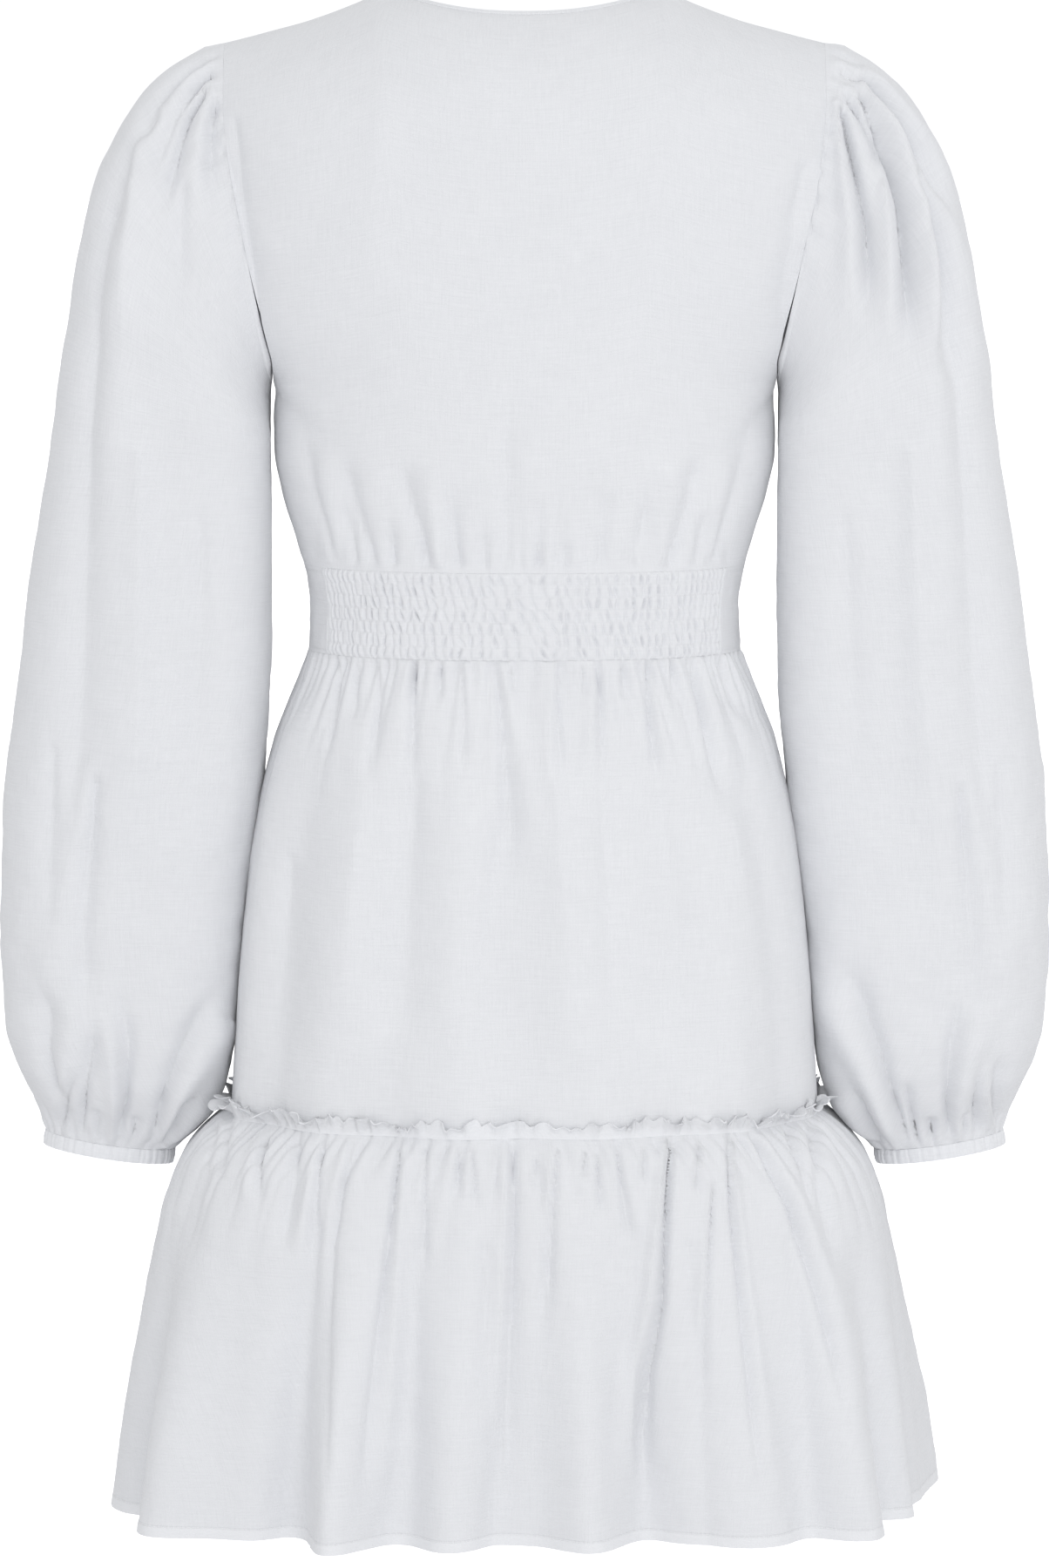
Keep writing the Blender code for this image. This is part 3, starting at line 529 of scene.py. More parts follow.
def bodice_point(spread, rise, side):
    """spread runs -1 to 1 across the panel, rise from 0 at the waist seam to 1 at the shoulder and neck."""
    across_share = np.sin(spread * math.pi / 2)
    edge_height = WAIST_TOP + rise * (SHOULDER_POINT - WAIST_TOP)
    half = np.where(
        edge_height < UNDERARM, body("half_width", edge_height), armhole_across(edge_height)
    )
    top_across = across_share * SHOULDER_HALF_WIDTH
    inside_neck = np.abs(top_across) < NECK_HALF_WIDTH
    top = np.where(inside_neck, neck_edge(top_across, side), shoulder_height(top_across))
    x = across_share * half
    z = WAIST_TOP + rise * (top - WAIST_TOP)
    y = body_depth(x, z, side) + side * SEAM_GAP / 2
    return np.stack([x, y, z + SEAM_GAP / 2 * (1 - rise)], axis=-1)


def ring_point(turn, half_width, back, front, squareness):
    """A point on a level section; turn is degrees from the wearer's left side, 90 at the centre back."""
    angle = np.radians(turn)
    power = 2 / squareness
    c, s = np.cos(angle), np.sin(angle)
    x = half_width * np.sign(c) * np.abs(c) ** power
    depth = np.where(s > 0, back, front)
    return x, depth * np.sign(s) * np.abs(s) ** power


def from_sides(turn):
    """0 at the sides of the dress and 1 at the middle of its back and front."""
    return np.abs(np.sin(np.radians(turn)))


def along_seam(turn, side, quarter):
    """Metres along a seam from the centre back (side 1) or front (side -1), quarter of them to the side."""
    return (turn - (90 if side > 0 else 270)) / 90 * quarter


def outward(turn, half_width, depth):
    """The level direction that points away from the body at that turn."""
    angle = np.radians(turn)
    nx, ny = np.cos(angle) / half_width, np.sin(angle) / depth
    length = np.hypot(nx, ny)
    return nx / length, ny / length


def folds(rows, turn, fall):
    """How far the folds of a table push the cloth out; fall is 0 at the top and 1 at the bottom."""
    total = np.zeros(np.broadcast(turn, fall).shape)
    for top_turn, bottom_turn, push, spread in rows:
        middle = top_turn + (bottom_turn - top_turn) * fall
        away = (turn - middle + 180) % 360 - 180
        total = total + push * np.exp(-((away / spread) ** 2))
    return total


def skirt_point(turn, fall):
    """The skirt between the waist and the flounce, falling in soft folds."""
    top, bottom = WAIST_BOTTOM - SEAM_GAP, FLOUNCE_SEAM + SEAM_GAP
    z = top + fall * (bottom - top)
    half, back, front = (body(c, z) for c in BODY_COLUMNS[1:])
    x, y = ring_point(turn, half, back, front, SQUARENESS)
    nx, ny = outward(turn, half, np.where(y > 0, back, front))
    clear_of_sleeves = eased(0.0, 0.35, from_sides(turn))
    push = clear_of_sleeves * folds(SKIRT_FOLDS, turn, fall) * eased(0.0, 0.45, fall)
    return np.stack([x + nx * push, y + ny * push, z + 0 * x], axis=-1)


def flounce_point(turn, fall):
    """The flounce, which springs out from its seam and hangs in deep waves at the hem."""
    z = FLOUNCE_SEAM + fall * (HEM - FLOUNCE_SEAM)
    half, back, front, square = (
        through(FLOUNCE_AT["height"], FLOUNCE_AT[c], z) for c in FLOUNCE_COLUMNS[1:]
    )
    x, y = ring_point(turn, half, back, front, square)
    nx, ny = outward(turn, half, np.where(y > 0, back, front))
    push = folds(FLOUNCE_FOLDS, turn, fall) * eased(0.02, 1.0, fall)
    return np.stack([x + nx * push, y + ny * push, z + 0 * x], axis=-1)


def waist_point(turn, fall):
    """The waist between its two seams."""
    top, bottom = WAIST_TOP - SEAM_GAP / 2, WAIST_BOTTOM
    z = top + fall * (bottom - top)
    half, back, front = (body(c, z) for c in BODY_COLUMNS[1:])
    x, y = ring_point(turn, half, back, front, SQUARENESS)
    return np.stack([x, y, z + 0 * x], axis=-1)


def armhole_point(turn):
    """A point of the armhole's edge; turn is 0 on the shoulder, 90 behind and 180 under the arm."""
    height_share = (1 + np.cos(np.radians(turn))) / 2
    z = UNDERARM + height_share * (SHOULDER_POINT - UNDERARM)
    x = armhole_across(z)
    side = np.where(turn <= 180, 1, -1)
    return np.stack([x, body_depth(x, z, side), z], axis=-1)


ARMHOLE_DEPTH = float(np.abs(armhole_point(np.arange(0.0, 360.0))[..., 1]).max())


def sleeve_point(turn, along):
    """The left sleeve. along is 0 at its first ring, 1 at the cuff, and -CAP_EASE at the armhole seam."""
    angle = np.radians(turn)
    places = np.linspace(0, 1, len(SLEEVE_RINGS))
    down = np.clip(along, 0, 1)
    at = {c: through(places, SLEEVE_AT[c], down) for c in SLEEVE_COLUMNS}
    lift = np.radians(at["lift"])
    edge = armhole_point(turn)
    edge[..., 0] += SEAM_GAP
    shape = edge[..., 1] / ARMHOLE_DEPTH
    still_armhole = 1 - eased(0.0, 0.35, down)
    sine, cosine = np.sin(angle), np.cos(angle)
    behind = np.where(cosine < 0, FULL_LOW_BEHIND, FULL_HIGH_BEHIND)
    corner = np.where(sine > 0, behind, FULL_IN_FRONT) * np.sin(2 * angle) ** 2
    fuller = 1 + corner * eased(0.05, 0.4, down) * (1 - eased(0.85, 1.0, down))
    section = sine * fuller * (1 - still_armhole) + shape * still_armhole
    up = at["reach"] * (1 + cosine * fuller) / 2
    ring = np.stack(
        [
            at["inner"] + np.sin(lift) * up,
            at["forward"] + at["half_depth"] * section,
            at["inner_height"] + np.cos(lift) * up,
        ],
        axis=-1,
    )
    seam_share = np.clip(-along / CAP_EASE, 0, 1)[..., None] ** CAP_TURN
    return ring * (1 - seam_share) + edge * seam_share


def surface_normals(points, round_it):
    """Unit normals of a grid of points, rows by columns, turned to the outside."""
    if round_it:
        around = np.roll(points, -1, axis=1) - np.roll(points, 1, axis=1)
    else:
        around = np.gradient(points, axis=1)
    normal = np.cross(around, np.gradient(points, axis=0))
    length = np.linalg.norm(normal, axis=-1, keepdims=True)
    normal = normal / np.maximum(length, 1e-12)
    if round_it:
        away = points - points.mean(axis=1, keepdims=True)
    else:
        away = points * np.array([1.0, 1.0, 0.0])
    return normal if (away * normal).sum() > 0 else -normal


def creases(rows, points, depth=1.0):
    """Relief in metres of a table of creases, on points seen from the front or back.

    Each sets in softly, widens and fades over its last third; depth deepens them all."""
    place = points[..., (0, 2)] / MM
    relief = np.zeros(place.shape[:-1])
    for push, width, lip, path in rows:
        path = np.array(path, float)
        lengths = np.linalg.norm(np.diff(path, axis=0), axis=1)
        starts = np.concatenate([[0], np.cumsum(lengths)])
        near = np.full(relief.shape, np.inf)
        beside = np.zeros(relief.shape)
        along = np.zeros(relief.shape)
        for start, end, length, run in zip(path[:-1], path[1:], lengths, starts):
            direction = (end - start) / length
            offset = place - start
            t = np.clip(offset @ direction, 0, length)
            gap = np.linalg.norm(offset - t[..., None] * direction, axis=-1)
            across = offset[..., 0] * -direction[1] + offset[..., 1] * direction[0]
            closer = gap < near
            near = np.where(closer, gap, near)
            beside = np.where(closer, across, beside)
            along = np.where(closer, (run + t) / starts[-1], along)
        strength = (0.7 + 0.3 * eased(0.0, 0.15, along)) * (1 - eased(0.65, 1.0, along))
        wide = width * (0.5 + 1.1 * along)
        shape = np.exp(-((near / wide) ** 1.5))
        raised = np.exp(-(((beside - LIP_AWAY * lip * wide) / (LIP_WIDE * wide)) ** 2))
        raised = raised * np.exp(-((np.maximum(near - 4 * wide, 0) / wide) ** 2)) * abs(lip)
        relief += depth * push * MM * strength * (shape - LIP_HIGH * raised)
    return relief


def back_creases(rows, points, side):
    """The creases noted for the back, and on the front the same ones mirrored."""
    return creases(rows if side > 0 else mirrored(rows), points, settings().crease_depth)


def gathers(place, away, kind, seed):
    """Relief of small gathers drawn up at a seam: place runs along it and away runs from it, in metres.

    Each is a narrow valley that widens and fades, at an uneven step and with an uneven length."""
    chance = np.random.default_rng(seed)
    count, (low, high), push, width, length = kind
    step = (high - low) / count
    relief = np.zeros(np.broadcast(place, away).shape)
    for index in range(count):
        at = low + step * (index + 0.5 + chance.uniform(-STEP_SHIFT, STEP_SHIFT))
        reach = length * chance.uniform(*LENGTH_RANGE)
        deep = push * chance.uniform(*DEPTH_RANGE)
        drift = chance.normal(0, DRIFT)
        share = np.clip(away / reach, 0, 1)
        wide = width * (1 + 2.2 * share)
        beside = (place - at - drift * away) / wide
        lip = 0.4 * np.exp(-(((beside - 2.0) / 1.6) ** 2))
        relief -= deep * (1 - share) ** 1.3 * (np.exp(-(np.abs(beside) ** 1.5)) - lip)
    return relief


def crumple(points, depth, size, seed):
    """The soft unevenness of washed linen, in metres."""
    flat = points.reshape(-1, 3) / size
    shift = Vector((seed * 7.13, seed * 3.7, seed * 1.9))
    values = [
        noise.noise(Vector(p) + shift) + 0.45 * noise.noise(Vector(p) * 2.3 + shift) for p in flat
    ]
    return depth * np.array(values).reshape(points.shape[:-1])


def add_crumple(relief, points, kinds, shift=0, share=1):
    """Adds a piece's crumpling in all its sizes to its relief; shift moves the seeds on."""
    for depth, size, seed in kinds:
        relief += crumple(points, settings().crumple * depth, size, seed + shift) * share


def ring_noise(turn, size, seed):
    """Noise in turns round the dress, about 1 to -1, with size patches in each radian."""
    angle = np.radians(turn)
    places = np.stack([np.cos(angle) * size, np.sin(angle) * size, 0 * angle + seed], axis=-1)
    return np.array([noise.noise(Vector(p)) for p in places])


def lowest_near(relief, round_it):
    """The least relief within two steps of each place."""
    low = relief
    for axis in (0, 1):
        for _ in range(2):
            if axis == 1 and round_it:
                before, after = np.roll(low, 1, axis=1), np.roll(low, -1, axis=1)
            else:
                before = np.concatenate(
                    [np.take(low, [0], axis), np.take(low, range(low.shape[axis] - 1), axis)], axis
                )
                after = np.concatenate(
                    [np.take(low, range(1, low.shape[axis]), axis), np.take(low, [-1], axis)], axis
                )
            low = np.minimum(low, np.minimum(before, after))
    return low


def cloth_lengths(points, round_it):
    """Metres along and across the cloth at each point, for its weave."""
    across = np.linalg.norm(np.diff(points, axis=1), axis=-1)
    u = np.concatenate([np.zeros((len(points), 1)), np.cumsum(across, axis=1)], axis=1)
    down = np.linalg.norm(np.diff(points, axis=0), axis=-1)
    v = np.concatenate([np.zeros((1, points.shape[1])), np.cumsum(down, axis=0)], axis=0)
    u = u - (0 if round_it else u.mean(axis=1, keepdims=True))
    v = v.mean(axis=1, keepdims=True) + 0 * v
    return u, v[-1:] - v


def cloth_mesh(name, vertices, faces, places):
    """A mesh with each point's place on the cloth, in metres, for the weave."""
    mesh = bpy.data.meshes.new(name)
    mesh.from_pydata(vertices.tolist(), [], faces)
    corners = np.empty(len(mesh.loops), np.int32)
    mesh.loops.foreach_get("vertex_index", corners)
    layer = mesh.uv_layers.new(name="cloth")
    layer.data.foreach_set("uv", places[corners].ravel().astype(np.float32))
    return mesh


def put_in_scene(mesh):
    """The mesh as an object of the same name."""
    piece = bpy.data.objects.new(mesh.name, mesh)
    bpy.context.scene.collection.objects.link(piece)
    return piece


def sew(node, points, relief, thickness, round_it=False, normals=None):
    """The closed cloth of a node: an outer face with its relief, and a plainer inner face behind it.

    Points are rows by columns, an odd number of each, or an even number of columns on a round piece."""
    if normals is None:
        normals = surface_normals(points, round_it)
    outer = points + normals * relief[..., None]
    behind = np.minimum(lowest_near(relief, round_it), relief) - thickness
    inner = (points + normals * behind[..., None])[::2, ::2]
    rows, columns = relief.shape
    inner_rows, inner_columns = inner.shape[:2]
    spans = columns if round_it else columns - 1
    inner_spans = inner_columns if round_it else inner_columns - 1
    vertices = np.concatenate([outer.reshape(-1, 3), inner.reshape(-1, 3)])
    first_inner = rows * columns

    def out(row, column):
        return row * columns + column % columns

    def ins(row, column):
        return first_inner + row * inner_columns + column % inner_columns

    faces = []
    for r in range(rows - 1):
        for c in range(spans):
            faces.append((out(r, c), out(r, c + 1), out(r + 1, c + 1), out(r + 1, c)))
    for r in range(inner_rows - 1):
        for c in range(inner_spans):
            faces.append((ins(r, c), ins(r + 1, c), ins(r + 1, c + 1), ins(r, c + 1)))
    last, inner_last = rows - 1, inner_rows - 1
    for c in range(inner_spans):
        k = 2 * c
        faces.append((out(0, k + 2), out(0, k + 1), out(0, k), ins(0, c), ins(0, c + 1)))
        hem_edge = (out(last, k), out(last, k + 1), out(last, k + 2))
        faces.append((*hem_edge, ins(inner_last, c + 1), ins(inner_last, c)))
    if not round_it:
        end, inner_end = columns - 1, inner_columns - 1
        for r in range(inner_rows - 1):
            k = 2 * r
            faces.append((out(k, 0), out(k + 1, 0), out(k + 2, 0), ins(r + 1, 0), ins(r, 0)))
            side_edge = (out(k + 2, end), out(k + 1, end), out(k, end))
            faces.append((*side_edge, ins(r, inner_end), ins(r + 1, inner_end)))
    u, v = cloth_lengths(points, round_it)
    lengths = np.stack([u, v], axis=-1)
    places = np.concatenate([lengths.reshape(-1, 2), lengths[::2, ::2].reshape(-1, 2)])
    mesh = cloth_mesh(f"linen_{node}", vertices, faces, places)
    mesh.validate()
    centre = mesh.polygons[len(mesh.polygons) // 4]
    probe = np.array(centre.normal)
    r, c = divmod(centre.vertices[0], columns)
    if centre.vertices[0] < first_inner and (probe * normals[r, c]).sum() < 0:
        mesh.flip_normals()
    mesh.shade_smooth()
    mesh.set_sharp_from_angle(angle=math.radians(SHARP_FROM))
    return put_in_scene(mesh)


def dress(piece, nodes, material):
    """Sets a finished piece on the frame: its cloth, and hides the frame nodes it stands for."""
    piece.data.materials.clear()
    piece.data.materials.append(material)
    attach(piece, "root")
    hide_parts(*nodes)


def settings():
    """The choices of the sidebar."""
    return bpy.context.scene.dress_linen


def socket_math(tree, operation, first, second=None):
    """A math node on sockets or plain numbers, and its result."""
    node = tree.nodes.new("ShaderNodeMath")
    node.operation = operation
    for socket, value in zip(node.inputs, (first, second)):
        if value is None:
            continue
        if isinstance(value, (int, float)):
            socket.default_value = value
        else:
            tree.links.new(value, socket)
    return node.outputs[0]


def threads(tree, place, scale, detail):
    """Uneven threads: noise drawn out along one way of the cloth."""
    stretched = tree.nodes.new("ShaderNodeMapping")
    stretched.inputs["Scale"].default_value = scale
    tree.links.new(place, stretched.inputs["Vector"])
    made = tree.nodes.new("ShaderNodeTexNoise")
    made.inputs["Scale"].default_value = 1.0
    made.inputs["Detail"].default_value = detail
    made.inputs["Roughness"].default_value = 0.6
    tree.links.new(stretched.outputs["Vector"], made.inputs["Vector"])
    return made.outputs["Fac"]


def linen(name, painted_light=1.0, stitch_rows=(), painted_hem_to=0.0):
    """White plain-weave linen.

    stitch_rows are metres up from the lower edge. The factor after the name makes the whole piece lighter
    as painted light, and the last argument, the height of a turned hem, marks where the cloth is painted
    lighter still, painted light for less shade showing through doubled cloth."""
    look = settings()
    made = bpy.data.materials.new(name)
    made.use_nodes = True
    tree = made.node_tree
    shader = tree.nodes["Principled BSDF"]
    shader.inputs["Roughness"].default_value = look.roughness
    shader.inputs["Sheen Weight"].default_value = look.sheen
    shader.inputs["Sheen Roughness"].default_value = 0.5
    shader.inputs["Specular IOR Level"].default_value = 0.25
    uv = tree.nodes.new("ShaderNodeUVMap")
    uv.uv_map = "cloth"
    place = uv.outputs["UV"]
    apart = tree.nodes.new("ShaderNodeSeparateXYZ")
    tree.links.new(place, apart.inputs["Vector"])
    u, v = apart.outputs["X"], apart.outputs["Y"]
    pitch = 2 * math.pi / look.thread_pitch
    warp = socket_math(tree, "SINE", socket_math(tree, "MULTIPLY", u, pitch))
    weft = socket_math(tree, "SINE", socket_math(tree, "MULTIPLY", v, pitch))
    weave = socket_math(tree, "MULTIPLY", warp, weft)
    slub_across = threads(tree, place, SLUBS_ACROSS, 2.0)
    slub_down = threads(tree, place, SLUBS_DOWN, 2.0)
    cloud = threads(tree, place, CLOUD, 3.0)
    slubs = socket_math(tree, "ADD", slub_across, slub_down)
    height = socket_math(tree, "ADD", socket_math(tree, "MULTIPLY", weave, WEAVE_LIFT), slubs)
    slub_shade = socket_math(tree, "MULTIPLY", slubs, SLUB_SHADE)
    cloud_shade = socket_math(tree, "MULTIPLY", cloud, CLOUD_SHADE)
    shade = socket_math(tree, "ADD", slub_shade, cloud_shade)
    for row in stitch_rows:
        off_row = socket_math(tree, "ABSOLUTE", socket_math(tree, "SUBTRACT", v, row))
        on_row = socket_math(tree, "LESS_THAN", off_row, look.thread_pitch * STITCH_WIDE)
        beat = socket_math(tree, "SINE", socket_math(tree, "MULTIPLY", u, 2 * math.pi / look.stitch_step))
        thread_shows = socket_math(tree, "GREATER_THAN", beat, STITCH_SPACE)
        stitch = socket_math(tree, "MULTIPLY", on_row, thread_shows)
        height = socket_math(tree, "ADD", height, socket_math(tree, "MULTIPLY", stitch, STITCH_LIFT))
        trench = socket_math(tree, "MULTIPLY", on_row, STITCH_TRENCH)
        height = socket_math(tree, "ADD", height, trench)
    # Painted light: below the turned hem's height the cloth is painted lighter, for less shade showing
    # through doubled cloth
    if painted_hem_to > 0:
        painted_hem = socket_math(tree, "LESS_THAN", v, painted_hem_to)
        shade = socket_math(tree, "ADD", shade, socket_math(tree, "MULTIPLY", painted_hem, HEM_PAINTED_LIGHT))
    ramp = tree.nodes.new("ShaderNodeValToRGB")
    dark, light = ramp.color_ramp.elements
    dark.position = DARK_AT
    light.position = LIGHT_AT_PAINTED_HEM if painted_hem_to else LIGHT_AT
    # Painted light: the lightness factor makes both colours lighter on the binding, cuffs and heading, for
    # the light their edges catch
    dark.color = (*np.minimum(np.array(look.shade_colour) * painted_light, 1), 1)
    light.color = (*np.minimum(np.array(look.linen_colour) * painted_light, 1), 1)
    tree.links.new(shade, ramp.inputs["Fac"])
    tree.links.new(ramp.outputs["Color"], shader.inputs["Base Color"])
    bump = tree.nodes.new("ShaderNodeBump")
    bump.inputs["Strength"].default_value = 1.0
    bump.inputs["Distance"].default_value = look.weave_depth
    tree.links.new(height, bump.inputs["Height"])
    tree.links.new(bump.outputs["Normal"], shader.inputs["Normal"])
    return made


def across_bodice(fine):
    """Columns of a bodice panel, with one at each corner of the neck."""
    neck = math.asin(NECK_HALF_WIDTH / SHOULDER_HALF_WIDTH) * 2 / math.pi
    middle = np.linspace(-neck, neck, 28 * fine + 1)
    shoulder = np.linspace(neck, 1, 18 * fine + 1)
    return np.concatenate([-shoulder[:0:-1], middle, shoulder[1:]])


def turns_of_half(side, columns):
    """Turns across the back (side 1) or front (side -1), just short of the side seams."""
    start = 0 if side > 0 else 180
    return np.linspace(start + SIDE_GAP, start + 180 - SIDE_GAP, columns)


def mirrored(rows):
    """The same creases on the other side of the dress."""
    return [(push, width, -lip, [(-x, z) for x, z in path]) for push, width, lip, path in rows]


def shirring(place, fall, seed):
    """Rows of elastic across the back, with short slanted gathers between them.

    place runs 0 to 1 across the panel and fall 0 to 1 down it."""
    look = settings()
    chance = np.random.default_rng(seed)
    count, bands = look.shirring_gathers, look.shirring_bands
    relief = np.zeros(place.shape)
    for band in range(bands):
        within = np.clip(fall * bands - band, 0, 1)
        window = np.sin(within * math.pi) ** 0.55
        shift = chance.uniform(-0.3, 0.3)
        for index in range(count):
            at = (index + 0.5 + shift + chance.normal(0, 0.12)) / count
            slant = chance.normal(0.1, 0.25) / count
            wide = chance.uniform(0.13, 0.21) / count
            deep = look.shirring_depth * chance.uniform(0.4, 1.0)
            near = np.abs(place[0] - at) < 4.5 / count
            beside = (place[:, near] - at - slant * (within[:, near] - 0.5)) / wide
            valley = np.exp(-(beside**2))
            swell = 0.15 * np.exp(-(((np.abs(beside) - 2.6) / 1.5) ** 2))
            relief[:, near] -= deep * window[:, near] * (valley - swell)
    row = fall * bands
    off_row = np.abs(row - np.round(row))
    inside = (row > 0.3) & (row < bands - 0.3)
    relief -= ELASTIC_DEPTH * np.exp(-((off_row / 0.11) ** 2)) * inside
    edge = eased(0, 0.02, place) * eased(0, 0.02, 1 - place)
    return relief * edge


def seam_dip(points, away):
    """The cloth pulled in along the lower armhole seam; away is the distance from the seam."""
    height = points[..., 2]
    low, full, full_to, high = UNDERARM_PULL
    pulled = eased(low, full, height) * (1 - eased(full_to, high, height))
    return -PULL_DEPTH * pulled * np.exp(-((away / PULL_WIDTH) ** 2))


class DRESS_OT_bodice(bpy.types.Operator):
    """Sew the back and front of the bodice"""

    bl_idname = "dress.bodice"
    bl_label = "Bodice"

    def execute(self, context):
        look = settings()
        material = linen("bodice_linen")
        for name, side in (("back_bodice", 1), ("front_bodice", -1)):
            fine = 3 if side > 0 else 2
            spread, rise = np.meshgrid(across_bodice(fine), np.linspace(1, 0, 56 * fine + 1))
            points = bodice_point(spread, rise, side)
            relief = back_creases(BACK_BODICE, points, side)
            above = points[..., 2] - WAIST_TOP
            relief += gathers(points[..., 0], above, BODICE_GATHERS, 5 + side)
            add_crumple(relief, points, BODICE_CRUMPLE, side)
            held = eased(0.0, 0.02, 1 - rise) * eased(0.0, 0.02, rise)
            at_side = eased(0.0, 0.03, 1 - np.abs(spread))
            from_armhole = (1 - np.abs(spread)) * SHOULDER_HALF_WIDTH
            relief = relief * held * at_side + seam_dip(points, from_armhole)
            piece = sew(name, points, relief, look.thickness)
            dress(piece, [name], material)
        return {"FINISHED"}


class DRESS_OT_neck_binding(bpy.types.Operator):
    """Roll the narrow binding round the neckline"""

    bl_idname = "dress.neck_binding"
    bl_label = "Neck binding"

    def execute(self, context):
        neck = math.asin(NECK_HALF_WIDTH / SHOULDER_HALF_WIDTH) * 2 / math.pi
        columns = np.linspace(-neck, neck, 241)
        edges = []
        for side in (1, -1):
            spread, rise = np.meshgrid(columns, [1.0, 0.9995])
            points = bodice_point(spread, rise, side)
            normals = surface_normals(points, False)
            edges.append((points[0], normals[0]))
        back, front = edges
        path = np.concatenate([back[0], front[0][-2:0:-1]])
        normals = np.concatenate([back[1], front[1][-2:0:-1]])
        for _ in range(3):
            normals = normals + np.roll(normals, 1, axis=0) + np.roll(normals, -1, axis=0)
            normals /= np.linalg.norm(normals, axis=-1, keepdims=True)
        tangent = np.roll(path, -1, axis=0) - np.roll(path, 1, axis=0)
        tangent /= np.linalg.norm(tangent, axis=-1, keepdims=True)
        inward = np.cross(tangent, normals)
        inside = np.array([0.0, 0.0, 0.05])
        inward *= np.sign((inward * (inside - path)).sum(-1, keepdims=True))
        inward /= np.linalg.norm(inward, axis=-1, keepdims=True)
        ahead = np.roll(path, -1, axis=0) - path
        behind = path - np.roll(path, 1, axis=0)
        turning = (ahead * behind).sum(-1) / (
            np.linalg.norm(ahead, axis=-1) * np.linalg.norm(behind, axis=-1)
        )
        mitre = 1 / np.sqrt(np.clip((1 + turning) / 2, 0.15, 1))[:, None]
        around = np.linspace(0, 2 * math.pi, 14, endpoint=False)
        half_wide, half_thick, roundness = 0.00195, 0.00105, 0.75
        sunk, inset = 0.00075, 0.0021
        across = half_wide * np.sign(np.cos(around)) * np.abs(np.cos(around)) ** roundness
        proud = half_thick * np.sign(np.sin(around)) * np.abs(np.sin(around)) ** roundness
        middle = path - normals * sunk + inward * mitre * inset
        roll = middle[:, None] + inward[:, None] * mitre[:, None] * across[:, None]
        roll = roll + normals[:, None] * proud[:, None]
        count, sides = roll.shape[:2]
        faces = []
        for r in range(count):
            for c in range(sides):
                n, s = (r + 1) % count, (c + 1) % sides
                faces.append((r * sides + c, r * sides + s, n * sides + s, n * sides + c))
        lengths = np.concatenate([[0], np.cumsum(np.linalg.norm(ahead, axis=-1))[:-1]])
        places = np.stack(np.meshgrid(lengths, around * MM, indexing="ij"), axis=-1)
        mesh = cloth_mesh("linen_neck_binding", roll.reshape(-1, 3), faces, places.reshape(-1, 2))
        middle_face = mesh.polygons[count // 4 * sides]
        first = middle_face.vertices[0]
        centre = roll[first // sides].mean(axis=0)
        if (np.array(middle_face.normal) * (np.array(middle_face.center) - centre)).sum() < 0:
            mesh.flip_normals()
        mesh.shade_smooth()
        # The binding is painted lighter, painted light for the light its rolled edge catches
        material = linen("binding_linen", settings().painted_edge_light, stitch_rows=NARROW_STITCHES)
        dress(put_in_scene(mesh), ["neck_binding"], material)
        return {"FINISHED"}


class DRESS_OT_waist(bpy.types.Operator):
    """Shirr the back of the waist and set the plain band at the front"""

    bl_idname = "dress.waist"
    bl_label = "Waist"

    def execute(self, context):
        look = settings()
        width_at_middle = float(body("half_width", (WAIST_TOP + WAIST_BOTTOM) / 2))
        share = SHIRRING_HALF_WIDTH / width_at_middle
        seam = math.degrees(math.acos(share ** (SQUARENESS / 2)))
        gap = math.degrees(SEAM_GAP / 2 / width_at_middle)
        low, high = seam + gap, 180 - seam - gap
        turn, fall = np.meshgrid(np.linspace(low, high, 581), np.linspace(0, 1, 61))
        points = waist_point(turn, fall)
        relief = SHIRRING_PROUD + shirring((turn - low) / (high - low), fall, 11)
        add_crumple(relief, points, SHIRRED_CRUMPLE)
        held = 0.1 + 0.9 * eased(0, 0.05, fall) * eased(0, 0.05, 1 - fall)
        piece = sew("back_waist_shirred", points, relief * held, look.thickness)
        dress(piece, ["back_waist_shirred"], linen("shirred_linen"))
        start, end = 180 - seam + gap, 360 + seam - gap
        turn, fall = np.meshgrid(np.linspace(start, end, 241), np.linspace(0, 1, 33))
        points = waist_point(turn, fall)
        relief = np.zeros(turn.shape)
        add_crumple(relief, points, BAND_CRUMPLE)
        relief *= eased(0, 0.1, fall) * eased(0, 0.1, 1 - fall)
        piece = sew("front_waistband", points, relief, look.thickness)
        dress(piece, ["front_waistband"], linen("waistband_linen", stitch_rows=BAND_STITCHES))
        return {"FINISHED"}


class DRESS_OT_skirt(bpy.types.Operator):
    """Hang the gathered skirt from the waist"""

    bl_idname = "dress.skirt"
    bl_label = "Skirt"

    def execute(self, context):
        look = settings()
        material = linen("skirt_linen")
        for name, side in (("back_skirt", 1), ("front_skirt", -1)):
            columns, rows = (321, 125) if side > 0 else (221, 91)
            turn, fall = np.meshgrid(turns_of_half(side, columns), np.linspace(0, 1, rows))
            points = skirt_point(turn, fall)
            relief = back_creases(BACK_SKIRT, points, side)
            beside = along_seam(turn, side, SKIRT_QUARTER)
            below = WAIST_BOTTOM - points[..., 2]
            relief += gathers(beside, below, SKIRT_GATHERS, 21 + side)
            add_crumple(relief, points, SKIRT_CRUMPLE, side)
            away = from_sides(turn)
            relief *= eased(0.0, 0.12, away) * eased(0, 0.012, fall) * eased(0, 0.03, 1 - fall)
            piece = sew(name, points, relief, look.thickness)
            dress(piece, [name], material)
        return {"FINISHED"}


